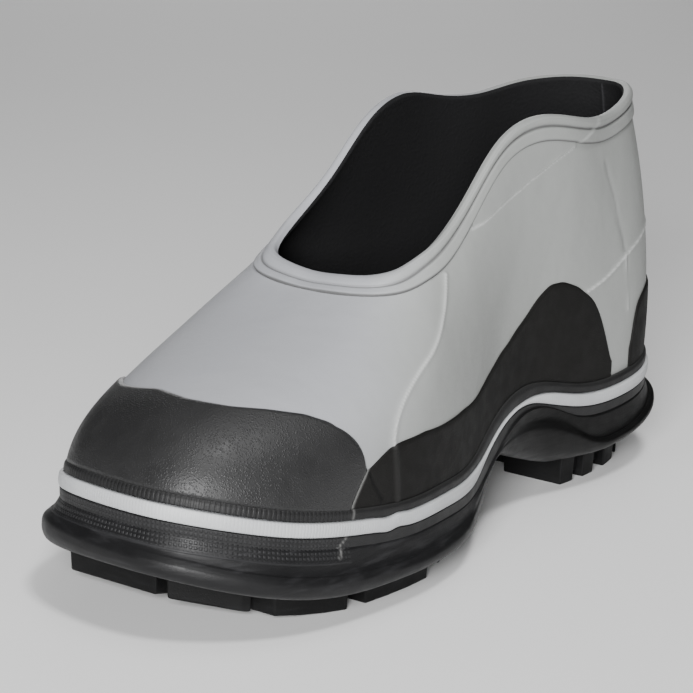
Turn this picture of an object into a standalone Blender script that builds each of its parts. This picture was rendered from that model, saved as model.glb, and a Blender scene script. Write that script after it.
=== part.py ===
"""A low slip-on rubber overshoe for the right foot, in metres, toe towards -Y and floor at Z = 0.

A turn goes once round the shoe: 0 at the heel, 1 at the toe along the medial side, and on to 2 at the heel
again along the lateral side. A rib is a curve up the upper's outer face, from the sole to the rim, at one turn.
"""
import math
from collections import namedtuple

import bmesh
import bpy
import numpy as np

# Driving sizes
LENGTH = 0.3148  # heel to toe, along the stripe
BALL_WIDTH = 0.118
HEEL_WIDTH = 0.086
STRIPE_LEVEL = 0.030  # middle of the stripe above the floor, at the ball
HEEL_HEIGHT = 0.151  # rim above the floor, at the heel
INSTEP_HEIGHT = 0.105  # rim above the floor, at the front of the throat
THROAT_BACK = 0.1163  # toe end of the stripe to the front of the throat
COLLAR_WIDTH = 0.068  # widest part of the opening, outside its wall
COLLAR_LENGTH = 0.195  # throat to heel, along the opening
WALL = 0.0022
FIT = 0.0003

# Strips round the edge of the sole
SEAT_DROP = 0.0070  # stripe's middle down to the seat of the upper on the sole
STRIPE_TALL = 0.0050
RIBBED_TALL = 0.0038
STRIP_THICK = 0.0026
STRIPE_PROUD = 0.0007
STRIPE_LOW = SEAT_DROP - STRIPE_TALL / 2
STRIPE_HIGH = SEAT_DROP + STRIPE_TALL / 2
RIBBED_HIGH = STRIPE_HIGH + FIT + RIBBED_TALL
NARROW = 0.85  # share of its height that the stripe loses at the waist, on the medial side
NARROW_TURN = 0.423
NARROW_REACH = 0.085

# Overlays on the upper
OVERLAY_THICK = 0.0009
CAP_THICK = 0.0015
PATCH_THICK = 0.0006
BAND_TALL = 0.0105
BEAD_TALL = 0.0042
BEAD_THICK = 0.0014
BAND_THICK = 0.0010
LIP = 0.0005
RIM_EDGE = 0.0015  # upper's edge below the top of the bead
SEAM_WIDE = 0.0018
SEAM_TALL = 0.0005

# Sole
FLANGE_WIDE = 0.0059  # bumper's widest ring, outside the stripe
LUG_DEPTH = 0.009
TOE_SPRING = 0.014
SPRING_START = 0.78  # share of the length where the toe starts to rise
ARCH_RISE = 0.024
LUG_DRAFT = 0.0010
LUG_ROOT = 0.009  # lug's root inside the sole
WEB_LIFT = 0.0025  # heel's web above the lugs' soles
ROOT_INSET = 0.014  # underside's edge in from the stripe, where the bumper is tucked up
INSOLE_THICK = 0.004
INSOLE_INSET = 0.0006

# Fineness of the mesh
COLUMNS = 64
UPPER_ROWS = 13
OVERLAY_ROWS = 5
TOE_CAP_ROWS = 9
PATCH_ROWS = 4
CLOSE = 0.25  # share of a column's step under which two columns are one
SHARP_ANGLE = math.radians(35)
RIB_SAMPLES = 48
NUDGE = 0.004  # step in turn and rise for measuring a surface's slope

# Sections from heel to toe. back: share of the length. ball: 0 takes half the heel's width, 1 half the ball's.
# medial, lateral: share of that half width. The two levels: stripe above the floor, by its level at the ball
Section = namedtuple("Section", "back ball medial lateral medial_level lateral_level")
SECTIONS = (
    Section(0.000, 0.00, 0.00, 0.00, 1.34, 1.34),
    Section(0.027, 0.00, 0.63, -0.63, 1.29, 1.30),
    Section(0.087, 0.00, 0.91, -0.93, 1.22, 1.24),
    Section(0.160, 0.00, 0.97, -1.02, 1.165, 1.19),
    Section(0.246, 0.00, 0.93, -1.02, 1.22, 1.19),
    Section(0.341, 0.25, 0.78, -0.95, 1.42, 1.19),
    Section(0.437, 0.50, 0.80, -0.92, 1.25, 1.14),
    Section(0.548, 0.80, 0.93, -0.95, 0.965, 1.03),
    Section(0.627, 1.00, 0.97, -0.98, 0.975, 0.99),
    Section(0.697, 1.00, 1.00, -1.00, 0.99, 1.00),
    Section(0.805, 1.00, 0.96, -0.965, 1.11, 1.11),
    Section(0.907, 1.00, 0.815, -0.82, 1.30, 1.30),
    Section(0.976, 1.00, 0.51, -0.485, 1.48, 1.48),
    Section(1.000, 1.00, 0.10, 0.10, 1.54, 1.54),
)

# A rib at each section. back: rim's place, by the opening's length from the throat. half: share of half the
# opening's width. level: 0 takes the instep's height, 1 the heel's. lean, rise: outward lean and handle at
# the sole, by the rib's height. steep: degrees below level at the rim. reach: handle there, by the rib's span
Rib = namedtuple("Rib", "back half level lean rise steep reach")
RIBS = (
    Rib(1.000, 0.00, 1.00, 0.10, 0.35, 74, 0.40),
    Rib(0.960, 0.42, 1.01, 0.10, 0.35, 75, 0.40),
    Rib(0.868, 0.74, 0.985, 0.08, 0.35, 78, 0.38),
    Rib(0.752, 0.90, 0.93, 0.06, 0.35, 82, 0.36),
    Rib(0.624, 1.00, 0.98, 0.05, 0.35, 84, 0.35),
    Rib(0.487, 0.95, 1.08, 0.05, 0.35, 82, 0.35),
    Rib(0.360, 0.90, 0.96, 0.02, 0.35, 80, 0.35),
    Rib(0.233, 0.91, 0.54, 0.02, 0.40, 72, 0.36),
    Rib(0.142, 0.92, 0.29, 0.03, 0.45, 60, 0.38),
    Rib(0.086, 0.88, 0.18, 0.04, 0.48, 48, 0.42),
    Rib(0.036, 0.78, 0.09, 0.05, 0.51, 41, 0.44),
    Rib(0.013, 0.59, 0.04, 0.06, 0.57, 34, 0.46),
    Rib(0.003, 0.32, 0.01, 0.08, 0.62, 29, 0.47),
    Rib(0.000, 0.00, 0.00, 0.08, 0.65, 27, 0.47),
)

# Side of the sole, from the seat down to the lugs' root. down: share of its height. out: of the bumper's width
Side = namedtuple("Side", "down out")
SOLE_SIDE = (
    Side(0.125, 0.60),
    Side(0.24, 0.90),
    Side(0.40, 1.00),
    Side(0.58, 0.98),
    Side(0.76, 0.78),
    Side(0.90, 0.20),
    Side(1.00, -0.70),
)
SHOULDER_OUT = 0.20  # share of the bumper's width at the shoulder
SIDE_STEP = 0.0004  # sole's side outside the lower strip
LAP_SLOPE = 0.15  # outward slope of the lap

# The sole along the shoe, on the medial and the lateral side. back: share of the length. arch: share of the
# arch's rise. flange: share of the bumper's width. shoulder: share of the side's height above the bumper.
# tuck: how much of the rest lies under the bumper. lap: how much of the lower strip the side laps over
RUN_COLUMNS = (
    "back arch_medial arch_lateral flange_medial flange_lateral shoulder_medial shoulder_lateral tuck lap"
)
Run = namedtuple("Run", RUN_COLUMNS)
SOLE_RUN = (
    Run(0.000, 0.00, 0.00, 0.80, 0.80, 0.08, 0.08, 0.64, 0.0),
    Run(0.060, 0.00, 0.00, 0.70, 0.74, 0.20, 0.20, 0.62, 0.0),
    Run(0.140, 0.00, 0.00, 0.70, 0.74, 0.42, 0.38, 0.54, 0.0),
    Run(0.210, 0.00, 0.00, 0.77, 0.76, 0.46, 0.40, 0.36, 0.0),
    Run(0.246, 0.05, 0.05, 0.80, 0.75, 0.26, 0.25, 0.16, 0.0),
    Run(0.278, 0.12, 0.12, 0.75, 0.70, 0.03, 0.10, 0.05, 0.4),
    Run(0.309, 0.24, 0.20, 0.62, 0.60, 0.00, 0.00, 0.00, 0.9),
    Run(0.354, 0.44, 0.32, 0.42, 0.50, 0.00, 0.00, 0.00, 0.9),
    Run(0.395, 0.64, 0.42, 0.22, 0.45, 0.00, 0.00, 0.00, 0.5),
    Run(0.430, 0.88, 0.45, 0.08, 0.45, 0.00, 0.00, 0.00, 0.0),
    Run(0.475, 0.66, 0.36, 0.04, 0.55, 0.00, 0.00, 0.00, 0.0),
    Run(0.500, 0.30, 0.18, 0.08, 0.70, 0.03, 0.03, 0.00, 0.0),
    Run(0.535, 0.05, 0.02, 0.25, 0.85, 0.12, 0.08, 0.00, 0.0),
    Run(0.600, 0.00, 0.00, 0.80, 1.00, 0.30, 0.20, 0.00, 0.0),
    Run(0.680, 0.00, 0.00, 0.95, 1.00, 0.38, 0.30, 0.00, 0.0),
    Run(0.850, 0.00, 0.00, 1.00, 1.00, 0.40, 0.18, 0.00, 0.0),
    Run(0.940, 0.00, 0.00, 1.00, 1.05, 0.38, 0.13, 0.00, 0.0),
    Run(0.985, 0.00, 0.00, 1.00, 1.05, 0.34, 0.18, 0.00, 0.0),
    Run(1.000, 0.00, 0.00, 1.00, 1.00, 0.27, 0.27, 0.00, 0.0),
)

# Lugs. side: 1 medial, -1 lateral. front, back: share of the length. edge_front, edge_back, inner: share of the
# half width there. nose: how far the inner front corner lies ahead of the outer one, as a share of the length
Lug = namedtuple("Lug", "side front back edge_front edge_back inner nose")
LUGS = (
    Lug(1, 0.892, 0.881, 0.54, 0.58, 0.10, 0.040),
    Lug(-1, 0.925, 0.882, 0.90, 0.87, 0.02, 0.004),
    Lug(1, 0.871, 0.786, 0.72, 0.87, 0.40, 0.000),
    Lug(-1, 0.871, 0.786, 0.76, 0.87, 0.40, 0.000),
    Lug(1, 0.757, 0.643, 0.88, 0.92, 0.45, 0.000),
    Lug(-1, 0.757, 0.643, 0.88, 0.92, 0.45, 0.000),
    Lug(1, 0.592, 0.510, 0.86, 0.74, 0.40, 0.000),
    Lug(-1, 0.592, 0.510, 0.88, 0.84, 0.40, 0.000),
    Lug(1, 0.248, 0.222, 0.83, 0.83, 0.15, 0.000),
    Lug(-1, 0.248, 0.222, 0.83, 0.83, 0.15, 0.000),
    Lug(1, 0.200, 0.174, 0.83, 0.82, 0.15, 0.000),
    Lug(-1, 0.200, 0.174, 0.83, 0.82, 0.15, 0.000),
    Lug(1, 0.144, 0.109, 0.80, 0.76, 0.15, 0.000),
    Lug(-1, 0.144, 0.109, 0.80, 0.76, 0.15, 0.000),
    Lug(1, 0.084, 0.030, 0.72, 0.50, 0.10, 0.000),
    Lug(-1, 0.084, 0.030, 0.72, 0.50, 0.10, 0.000),
)
# Bars across the middle of the forefoot. front, back: share of the length. half: share of the half width
Bar = namedtuple("Bar", "front back half")
BARS = (
    Bar(0.862, 0.825, 0.28),
    Bar(0.790, 0.745, 0.30),
    Bar(0.710, 0.665, 0.32),
    Bar(0.630, 0.585, 0.30),
)
EDGE_STEPS = 3
# Web that fills the heel's grooves, above the lugs' soles. back: share of the length. half: of the half width
Web = namedtuple("Web", "back half")
HEEL_WEB = (
    Web(0.238, 0.76),
    Web(0.190, 0.76),
    Web(0.130, 0.72),
    Web(0.060, 0.54),
)

# Upper edges of the overlays. turn: place round the shoe. high: share of the rib
Edge = namedtuple("Edge", "turn high")
TOE_CAP = (
    Edge(0.757, 0.232),
    Edge(0.764, 0.272),
    Edge(0.780, 0.327),
    Edge(0.796, 0.363),
    Edge(0.816, 0.390),
    Edge(0.848, 0.405),
    Edge(0.892, 0.399),
    Edge(0.936, 0.382),
    Edge(1.000, 0.373),
    Edge(1.044, 0.384),
    Edge(1.072, 0.370),
    Edge(1.104, 0.362),
    Edge(1.152, 0.375),
    Edge(1.184, 0.380),
    Edge(1.204, 0.363),
    Edge(1.220, 0.327),
    Edge(1.236, 0.272),
    Edge(1.243, 0.232),
)
SIDE_PANEL = (
    Edge(0.209, 0.150),
    Edge(0.217, 0.220),
    Edge(0.227, 0.300),
    Edge(0.239, 0.360),
    Edge(0.256, 0.405),
    Edge(0.282, 0.441),
    Edge(0.308, 0.453),
    Edge(0.332, 0.441),
    Edge(0.352, 0.404),
    Edge(0.376, 0.350),
    Edge(0.410, 0.309),
    Edge(0.450, 0.301),
    Edge(0.512, 0.314),
    Edge(0.560, 0.340),
    Edge(0.620, 0.347),
    Edge(0.664, 0.353),
    Edge(0.700, 0.337),
    Edge(0.728, 0.320),
    Edge(0.742, 0.285),
    Edge(0.756, 0.234),
)
HEEL_COUNTER_HALF = (
    Edge(0.000, 0.350),
    Edge(0.090, 0.350),
    Edge(0.124, 0.345),
    Edge(0.145, 0.330),
    Edge(0.157, 0.305),
    Edge(0.162, 0.270),
    Edge(0.167, 0.215),
    Edge(0.171, 0.150),
)
# Lower edge of the patch below the collar. drop: distance from the rim, by the collar band's height
Hang = namedtuple("Hang", "turn drop")
ANKLE_PATCH = (
    Hang(0.292, 1.16),
    Hang(0.328, 1.70),
    Hang(0.364, 2.18),
    Hang(0.404, 2.40),
    Hang(0.440, 2.30),
    Hang(0.470, 2.05),
    Hang(0.500, 1.65),
    Hang(0.528, 1.16),
)
# Raised seam down the side of the vamp, from the collar to the side panel. high: share of the rib
VAMP_SEAM = (
    Edge(0.610, 0.875),
    Edge(0.622, 0.820),
    Edge(0.640, 0.760),
    Edge(0.664, 0.690),
    Edge(0.686, 0.640),
    Edge(0.706, 0.600),
    Edge(0.720, 0.545),
    Edge(0.728, 0.480),
    Edge(0.728, 0.415),
    Edge(0.723, 0.350),
)

Colour = namedtuple("Colour", "red green blue rough")
GREY = Colour(0.42, 0.43, 0.44, 0.55)
PALE = Colour(0.60, 0.61, 0.61, 0.55)
BLACK = Colour(0.025, 0.025, 0.028, 0.50)
DARK = Colour(0.012, 0.012, 0.012, 0.85)


def ring_spline(knots, values):
    """A closed cubic curve through the values at the knots, which go once round in two turns."""
    knots = np.asarray(knots, float)
    values = np.asarray(values, float)
    count = len(knots)
    gaps = np.diff(np.append(knots, knots[0] + 2))
    slopes = (np.roll(values, -1) - values) / gaps
    matrix = np.zeros((count, count))
    for i in range(count):
        matrix[i, i - 1] += gaps[i - 1]
        matrix[i, i] += 2 * (gaps[i - 1] + gaps[i])
        matrix[i, (i + 1) % count] += gaps[i]
    bends = np.linalg.solve(matrix, 6 * (slopes - np.roll(slopes, 1)))

    def at(turn):
        turn = np.mod(turn, 2)
        i = np.clip(np.searchsorted(knots, turn, side="right") - 1, 0, count - 1)
        after = (i + 1) % count
        gap = gaps[i]
        a = (knots[i] + gap - turn) / gap
        b = 1 - a
        bent = ((a**3 - a) * bends[i] + (b**3 - b) * bends[after]) * gap**2 / 6
        return a * values[i] + b * values[after] + bent

    return at


def both_sides(medial, lateral):
    """Values once round the shoe: the medial ones from heel to toe, then the lateral ones back to the heel."""
    return list(medial) + list(lateral)[-2:0:-1]


def half_width(section):
    return (HEEL_WIDTH * (1 - section.ball) + BALL_WIDTH * section.ball) / 2


def knots_of_sections():
    """The turn of each section, by the mean distance along the two sides of the outline."""
    steps = []
    for a, b in zip(SECTIONS, SECTIONS[1:]):
        run = (b.back - a.back) * LENGTH
        medial = math.hypot(run, b.medial * half_width(b) - a.medial * half_width(a))
        lateral = math.hypot(run, b.lateral * half_width(b) - a.lateral * half_width(a))
        steps.append((medial + lateral) / 2)
    along = np.append(0, np.cumsum(steps))
    medial = along / along[-1]
    return both_sides(medial, 2 - medial)


KNOTS = knots_of_sections()
HEEL_Y = LENGTH / 2
THROAT_Y = THROAT_BACK - LENGTH / 2


def around(medial, lateral):
    return ring_spline(KNOTS, both_sides(medial, lateral))


def same(values):
    return around(values, values)


medial_x = [s.medial * half_width(s) for s in SECTIONS]
lateral_x = [s.lateral * half_width(s) for s in SECTIONS]
medial_z = [s.medial_level * STRIPE_LEVEL for s in SECTIONS]
lateral_z = [s.lateral_level * STRIPE_LEVEL for s in SECTIONS]
outline_x = around(medial_x, lateral_x)
outline_y = same([HEEL_Y - s.back * LENGTH for s in SECTIONS])
stripe_z = around(medial_z, lateral_z)
rim_x = around([r.half * COLLAR_WIDTH / 2 for r in RIBS], [-r.half * COLLAR_WIDTH / 2 for r in RIBS])
rim_y = same([THROAT_Y + r.back * COLLAR_LENGTH for r in RIBS])
rim_z = same([INSTEP_HEIGHT + r.level * (HEEL_HEIGHT - INSTEP_HEIGHT) for r in RIBS])
rib_lean = same([r.lean for r in RIBS])
rib_rise = same([r.rise for r in RIBS])
rib_steep = same([math.radians(r.steep) for r in RIBS])
rib_reach = same([r.reach for r in RIBS])


def unit(vectors):
    return vectors / np.linalg.norm(vectors, axis=-1, keepdims=True)


def plan_normal(x_of, y_of, turn):
    """Outward direction in plan of a closed curve."""
    dx = x_of(turn + NUDGE) - x_of(turn - NUDGE)
    dy = y_of(turn + NUDGE) - y_of(turn - NUDGE)
    return unit(np.stack([-dy, dx, np.zeros_like(dx)], -1))


def edge_point(turn, out, z):
    """A point at height z, a distance outside the stripe's outline."""
    turn = np.asarray(turn, float)
    plan = np.stack([outline_x(turn), outline_y(turn), np.zeros_like(turn)], -1)
    plan = plan + plan_normal(outline_x, outline_y, turn) * np.asarray(out)[..., None]
    plan[..., 2] = z
    return plan


UPPER_INSET = STRIP_THICK + FIT
INSOLE_EDGE = UPPER_INSET + WALL + INSOLE_INSET


def seat_z(turn):
    """Height of the sole's top edge, where the upper stands."""
    return stripe_z(turn) - SEAT_DROP


def rib_handles(turn):
    """The four points of each rib's curve, from the sole to the rim."""
    base = edge_point(turn, np.full_like(turn, -UPPER_INSET), seat_z(turn) + FIT)
    rim = np.stack([rim_x(turn), rim_y(turn), rim_z(turn)], -1)
    up = np.array([0.0, 0.0, 1.0])
    height = (rim - base)[..., 2:]
    span = np.linalg.norm(rim - base, axis=-1, keepdims=True)
    lean = rib_lean(turn)[..., None] * plan_normal(outline_x, outline_y, turn)
    low = base + (lean + up) * rib_rise(turn)[..., None] * height
    steep = rib_steep(turn)[..., None]
    drop = np.cos(steep) * plan_normal(rim_x, rim_y, turn) - np.sin(steep) * up
    high = rim + drop * rib_reach(turn)[..., None] * span
    return base, low, high, rim


def cubic(handles, t):
    a, b, c, d = (h[..., None, :] for h in handles)
    t = t[..., None]
    s = 1 - t
    return s**3 * a + 3 * s * s * t * b + 3 * s * t * t * c + t**3 * d


def rib_lengths(turn):
    """Distance along each rib at even steps of its curve."""
    steps = np.linspace(0, 1, RIB_SAMPLES + 1)
    points = cubic(rib_handles(turn), np.broadcast_to(steps, (len(turn), len(steps))))
    pieces = np.linalg.norm(np.diff(points, axis=1), axis=-1)
    return np.concatenate([np.zeros((len(turn), 1)), np.cumsum(pieces, axis=1)], axis=1)


def on_rib(turn, rise):
    """Points at shares of the ribs' lengths. rise has a row for each turn."""
    along = rib_lengths(turn)
    steps = np.linspace(0, 1, RIB_SAMPLES + 1)
    t = np.stack([np.interp(r, a / a[-1], steps) for r, a in zip(rise, along)])
    return cubic(rib_handles(turn), t)


def skin(turn, rise, out):
    """Points a distance outside the upper's outer face."""
    turn = np.asarray(turn, float)
    rise = np.broadcast_to(rise, (len(turn), np.shape(rise)[-1]))
    low = np.clip(rise - NUDGE, 0, 1 - 2 * NUDGE)
    upward = on_rib(turn, low + 2 * NUDGE) - on_rib(turn, low)
    onward = on_rib(turn + NUDGE, rise) - on_rib(turn - NUDGE, rise)
    normal = unit(np.cross(upward, onward))
    return on_rib(turn, rise) + normal * np.broadcast_to(out, rise.shape)[..., None]


def rise_from_sole(turn, distance):
    """Share of the rib at a distance from its foot."""
    return np.outer(1 / rib_lengths(turn)[:, -1], np.atleast_1d(distance))


def rise_from_rim(turn, distance):
    return 1 - rise_from_sole(turn, distance)


def columns():
    """Turns of the mesh's columns, all the way round."""
    return np.arange(COLUMNS) * 2 / COLUMNS


def material(name, colour):
    made = bpy.data.materials.new(name)
    made.use_nodes = True
    shader = made.node_tree.nodes["Principled BSDF"]
    shader.inputs["Base Color"].default_value = (colour.red, colour.green, colour.blue, 1)
    shader.inputs["Roughness"].default_value = colour.rough
    shader.inputs["Metallic"].default_value = 0
    return made


def solid(name, points, faces, colour):
    """One closed object from its points and faces, with its faces turned outwards."""
    mesh = bpy.data.meshes.new(name)
    mesh.from_pydata([tuple(p) for p in points], [], faces)
    shape = bmesh.new()
    shape.from_mesh(mesh)
    bmesh.ops.triangulate(shape, faces=shape.faces)
    bmesh.ops.recalc_face_normals(shape, faces=shape.faces)
    shape.to_mesh(mesh)
    shape.free()
    mesh.shade_smooth()
    mesh.set_sharp_from_angle(angle=SHARP_ANGLE)
    mesh.materials.append(material(name + "_finish", colour))
    made = bpy.data.objects.new(name, mesh)
    bpy.context.scene.collection.objects.link(made)
    return made


def swept(name, loops, closed, colour):
    """A solid from loops of points, one for each column: a closed hoop, or a strip with its ends shut."""
    count, size = loops.shape[:2]
    faces = []
    for i in range(count if closed else count - 1):
        here = i * size
        there = (i + 1) % count * size
        for j in range(size):
            k = (j + 1) % size
            faces.append((here + j, here + k, there + k, there + j))
    if not closed:
        for end in (0, (count - 1) * size):
            for j in range(size // 2 - 1):
                faces.append((end + j, end + j + 1, end + size - 2 - j, end + size - 1 - j))
    return solid(name, loops.reshape(-1, 3), faces, colour)


def across(ring, count):
    """Faces that span a ring of columns from side to side."""
    faces = [(ring, ring + 1, ring + count - 1)]
    for i in range(1, count // 2 - 1):
        faces.append((ring + i, ring + i + 1, ring + count - i - 1, ring + count - i))
    faces.append((ring + count // 2 - 1, ring + count // 2, ring + count // 2 + 1))
    return faces


def stacked(name, rings, colour):
    """A solid from rings of columns, from the top down, shut at both ends."""
    size, count = rings.shape[:2]
    faces = across(0, count) + across((size - 1) * count, count)
    for i in range(size - 1):
        for j in range(count):
            k = (j + 1) % count
            faces.append((i * count + j, i * count + k, (i + 1) * count + k, (i + 1) * count + j))
    return solid(name, rings.reshape(-1, 3), faces, colour)


def make_upper():
    turn = columns()
    rows = np.linspace(0, 1, UPPER_ROWS)
    top = rise_from_rim(turn, RIM_EDGE)
    rise = rows[None, :] * top
    outer = skin(turn, rise, 0)
    inner = skin(turn, rise, -WALL)
    inner[:, 0, 2] = outer[:, 0, 2]
    return swept("upper", np.concatenate([outer, inner[:, ::-1]], axis=1), True, GREY)


def pinched(turn):
    """Share of its height that the stripe loses."""
    return NARROW * np.exp(-(((turn - NARROW_TURN) / NARROW_REACH) ** 4))


def stripe_edges(turn):
    """The stripe's lower and upper edges, from the foot of each rib."""
    lost = STRIPE_TALL * pinched(turn)
    return STRIPE_LOW + lost / 2, STRIPE_HIGH - lost / 2


def strip(name, low, high, thick, colour):
    """A strip round the foot of the upper, between two distances from the foot of each rib."""
    turn = columns()
    length = rib_lengths(turn)[:, -1]
    rise = np.stack([low / length, high / length, high / length, low / length], axis=1)
    loops = skin(turn, rise, FIT + np.outer(np.broadcast_to(thick, turn.shape), (0, 0, 1, 1)))
    return swept(name, loops, True, colour)


def make_strips():
    low, high = stripe_edges(columns())
    proud = STRIPE_PROUD * (1 - pinched(columns()))
    strip("foxing_lower", 0, low - FIT, STRIP_THICK, BLACK)
    strip("foxing_stripe", low, high, STRIP_THICK + proud - FIT, PALE)
    strip("foxing_upper", high + FIT, RIBBED_HIGH, STRIP_THICK - LIP, BLACK)


def make_collar_band():
    """A bead that caps the upper's edge, with a flat band below it."""
    turn = columns()
    profile = (
        (BAND_TALL, FIT),
        (BAND_TALL, FIT + LIP),
        (BAND_TALL - LIP, FIT + BAND_THICK),
        (BEAD_TALL + LIP, FIT + BAND_THICK),
        (BEAD_TALL, FIT + LIP),
        (BEAD_TALL - LIP, FIT + BEAD_THICK),
        (RIM_EDGE, FIT + BEAD_THICK + LIP),
        (0, FIT + BEAD_THICK - LIP),
        (0, -WALL),
        (RIM_EDGE - FIT, -WALL),
        (RIM_EDGE - FIT, FIT),
    )
    rise = rise_from_rim(turn, np.array([p[0] for p in profile]))
    return swept("collar_band", skin(turn, rise, np.array([p[1] for p in profile])), True, GREY)


def both_halves(half):
    """A table's rows for the lateral side, added before the heel."""
    return [row._replace(turn=-row.turn) for row in reversed(half)][:-1] + list(half)


def across_turns(rows):
    """The same table on the lateral side."""
    return [row._replace(turn=2 - row.turn) for row in reversed(rows)]


def turns_between(rows):
    """The mesh's columns within a table's turns, with the table's own turns added."""
    step = 2 / COLUMNS
    marks = [row.turn for row in rows]
    even = np.arange(math.ceil(marks[0] / step), math.floor(marks[-1] / step) + 1) * step
    apart = [t for t in even if min(abs(t - m) for m in marks) > step * CLOSE]
    return np.array(sorted(marks + apart))


def overlay(name, turn, low, high, rows, thick, colour):
    """A skin over the upper, between two edges given as shares of the ribs."""
    rise = low[:, None] + (high - low)[:, None] * np.linspace(0, 1, rows)
    inner = skin(turn, rise, FIT)
    outer = skin(turn, rise, FIT + thick)
    return swept(name, np.concatenate([outer, inner[:, ::-1]], axis=1), False, colour)


def edge_overlay(name, edges, rows, thick):
    """A black overlay from the ribbed strip up to the edge that the table gives."""
    turn = turns_between(edges)
    low = rise_from_sole(turn, RIBBED_HIGH + FIT)[:, 0]
    high = np.interp(turn, [e.turn for e in edges], [e.high for e in edges])
    return overlay(name, turn, low, high, rows, thick, BLACK)


def make_overlays():
    edge_overlay("toe_cap", TOE_CAP, TOE_CAP_ROWS, CAP_THICK)
    edge_overlay("side_panel_medial", SIDE_PANEL, OVERLAY_ROWS, OVERLAY_THICK)
    edge_overlay("side_panel_lateral", across_turns(SIDE_PANEL), OVERLAY_ROWS, OVERLAY_THICK)
    edge_overlay("heel_counter", both_halves(HEEL_COUNTER_HALF), OVERLAY_ROWS, OVERLAY_THICK)


def ankle_patch(name, rows):
    """A thin patch that hangs below the collar band."""
    turn = turns_between(rows)
    drop = np.interp(turn, [r.turn for r in rows], [r.drop for r in rows]) * BAND_TALL
    length = rib_lengths(turn)[:, -1]
    high = rise_from_rim(turn, BAND_TALL + FIT)[:, 0]
    return overlay(name, turn, 1 - drop / length, high, PATCH_ROWS, PATCH_THICK, GREY)


def vamp_seam(name, rows):
    """A narrow raised strip along a line on the upper."""
    line = np.array([[row.turn, row.high] for row in rows])
    middle = skin(line[:, 0], line[:, 1:], FIT)[:, 0]
    lifted = skin(line[:, 0], line[:, 1:], FIT + SEAM_TALL)[:, 0]
    along = unit(np.gradient(middle, axis=0))
    aside = unit(np.cross(along, lifted - middle)) * SEAM_WIDE / 2
    loops = np.stack([middle - aside, lifted - aside / 2, lifted + aside / 2, middle + aside], axis=1)
    return swept(name, loops, False, GREY)


def spring(y):
    """Rise of the tread towards the toe."""
    back = (HEEL_Y - y) / LENGTH
    share = np.clip((back - SPRING_START) / (1 - SPRING_START), 0, None)
    return TOE_SPRING * share**2


def along_sole(turn, medial, lateral):
    """A pair of columns of the sole's table at these turns."""
    back = (HEEL_Y - outline_y(turn)) / LENGTH
    places = [r.back for r in SOLE_RUN]
    inner = np.interp(back, places, [getattr(r, medial) for r in SOLE_RUN])
    outer = np.interp(back, places, [getattr(r, lateral) for r in SOLE_RUN])
    return np.where(turn <= 1, inner, outer)


def root_z(turn):
    """Height of the sole's underside, where the lugs start."""
    y = outline_y(turn)
    return spring(y) + LUG_DEPTH + ARCH_RISE * along_sole(turn, "arch_medial", "arch_lateral")


def make_sole_body():
    turn = columns()
    top = seat_z(turn)
    bottom = root_z(turn)
    flange = along_sole(turn, "flange_medial", "flange_lateral") * FLANGE_WIDE
    shoulder = along_sole(turn, "shoulder_medial", "shoulder_lateral")
    tuck = along_sole(turn, "tuck", "tuck")
    lap = along_sole(turn, "lap", "lap") * (STRIPE_LOW - FIT)
    level = np.zeros(COLUMNS)
    rings = [edge_point(turn, level - INSOLE_EDGE, top), edge_point(turn, level + FIT, top)]
    rings.append(edge_point(turn, FIT + SIDE_STEP + lap * LAP_SLOPE, top + lap))
    rings.append(edge_point(turn, FIT + SIDE_STEP + flange * SHOULDER_OUT, top - shoulder * (top - bottom)))
    for side in SOLE_SIDE:
        down = shoulder + (1 - shoulder) * side.down * (1 - tuck)
        out = side.out * flange + SIDE_STEP * (1 - side.down)
        rings.append(edge_point(turn, out, top - down * (top - bottom)))
    rings.append(edge_point(turn, level - ROOT_INSET, bottom))
    return stacked("outsole", np.array(rings), BLACK)


def side_x(y, medial):
    """The outline's X at a Y, on one side."""
    turn = np.linspace(0, 1, 200) if medial else np.linspace(2, 1, 200)
    return np.interp(-np.asarray(y), -outline_y(turn), outline_x(turn))


def block(corners, lift):
    """Points and faces of a lug from its plan corners, wider at its root."""
    corners = np.array(corners)
    count = len(corners)
    centre = corners.mean(0)
    wide = corners + unit(corners - centre) * LUG_DRAFT
    foot = [(x, y, spring(y) + lift) for x, y in corners]
    root = [(x, y, spring(y) + LUG_DEPTH + LUG_ROOT) for x, y in wide]
    faces = [tuple(range(count)), tuple(range(2 * count - 1, count - 1, -1))]
    for i in range(count):
        k = (i + 1) % count
        faces.append((i, k, count + k, count + i))
    return foot + root, faces


def lug_corners(lug):
    y = HEEL_Y - np.linspace(lug.front, lug.back, EDGE_STEPS + 1) * LENGTH
    edge = np.linspace(lug.edge_front, lug.edge_back, EDGE_STEPS + 1)
    x = side_x(y, lug.side > 0)
    outer = list(zip(x * edge, y))
    inner = [(x[-1] * lug.inner, y[-1]), (x[0] * lug.inner, y[0] - lug.nose * LENGTH)]
    return outer + inner


def bar_corners(bar):
    corners = []
    for back, sign in ((bar.front, 1), (bar.front, -1), (bar.back, -1), (bar.back, 1)):
        y = HEEL_Y - back * LENGTH
        corners.append((float(side_x(y, sign > 0)) * bar.half, y))
    return corners


def web_corners():
    y = [HEEL_Y - web.back * LENGTH for web in HEEL_WEB]
    half = np.array([web.half for web in HEEL_WEB])
    medial = list(zip(side_x(y, True) * half, y))
    lateral = list(zip(side_x(y, False) * half, y))
    return medial + lateral[::-1]


def make_blocks(name, plans, lift):
    points = []
    faces = []
    for plan in plans:
        more, sides = block(plan, lift)
        faces += [tuple(i + len(points) for i in side) for side in sides]
        points += more
    made = solid(name, points, faces, BLACK)
    made.hide_render = True
    made.display_type = "WIRE"
    return made


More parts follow.
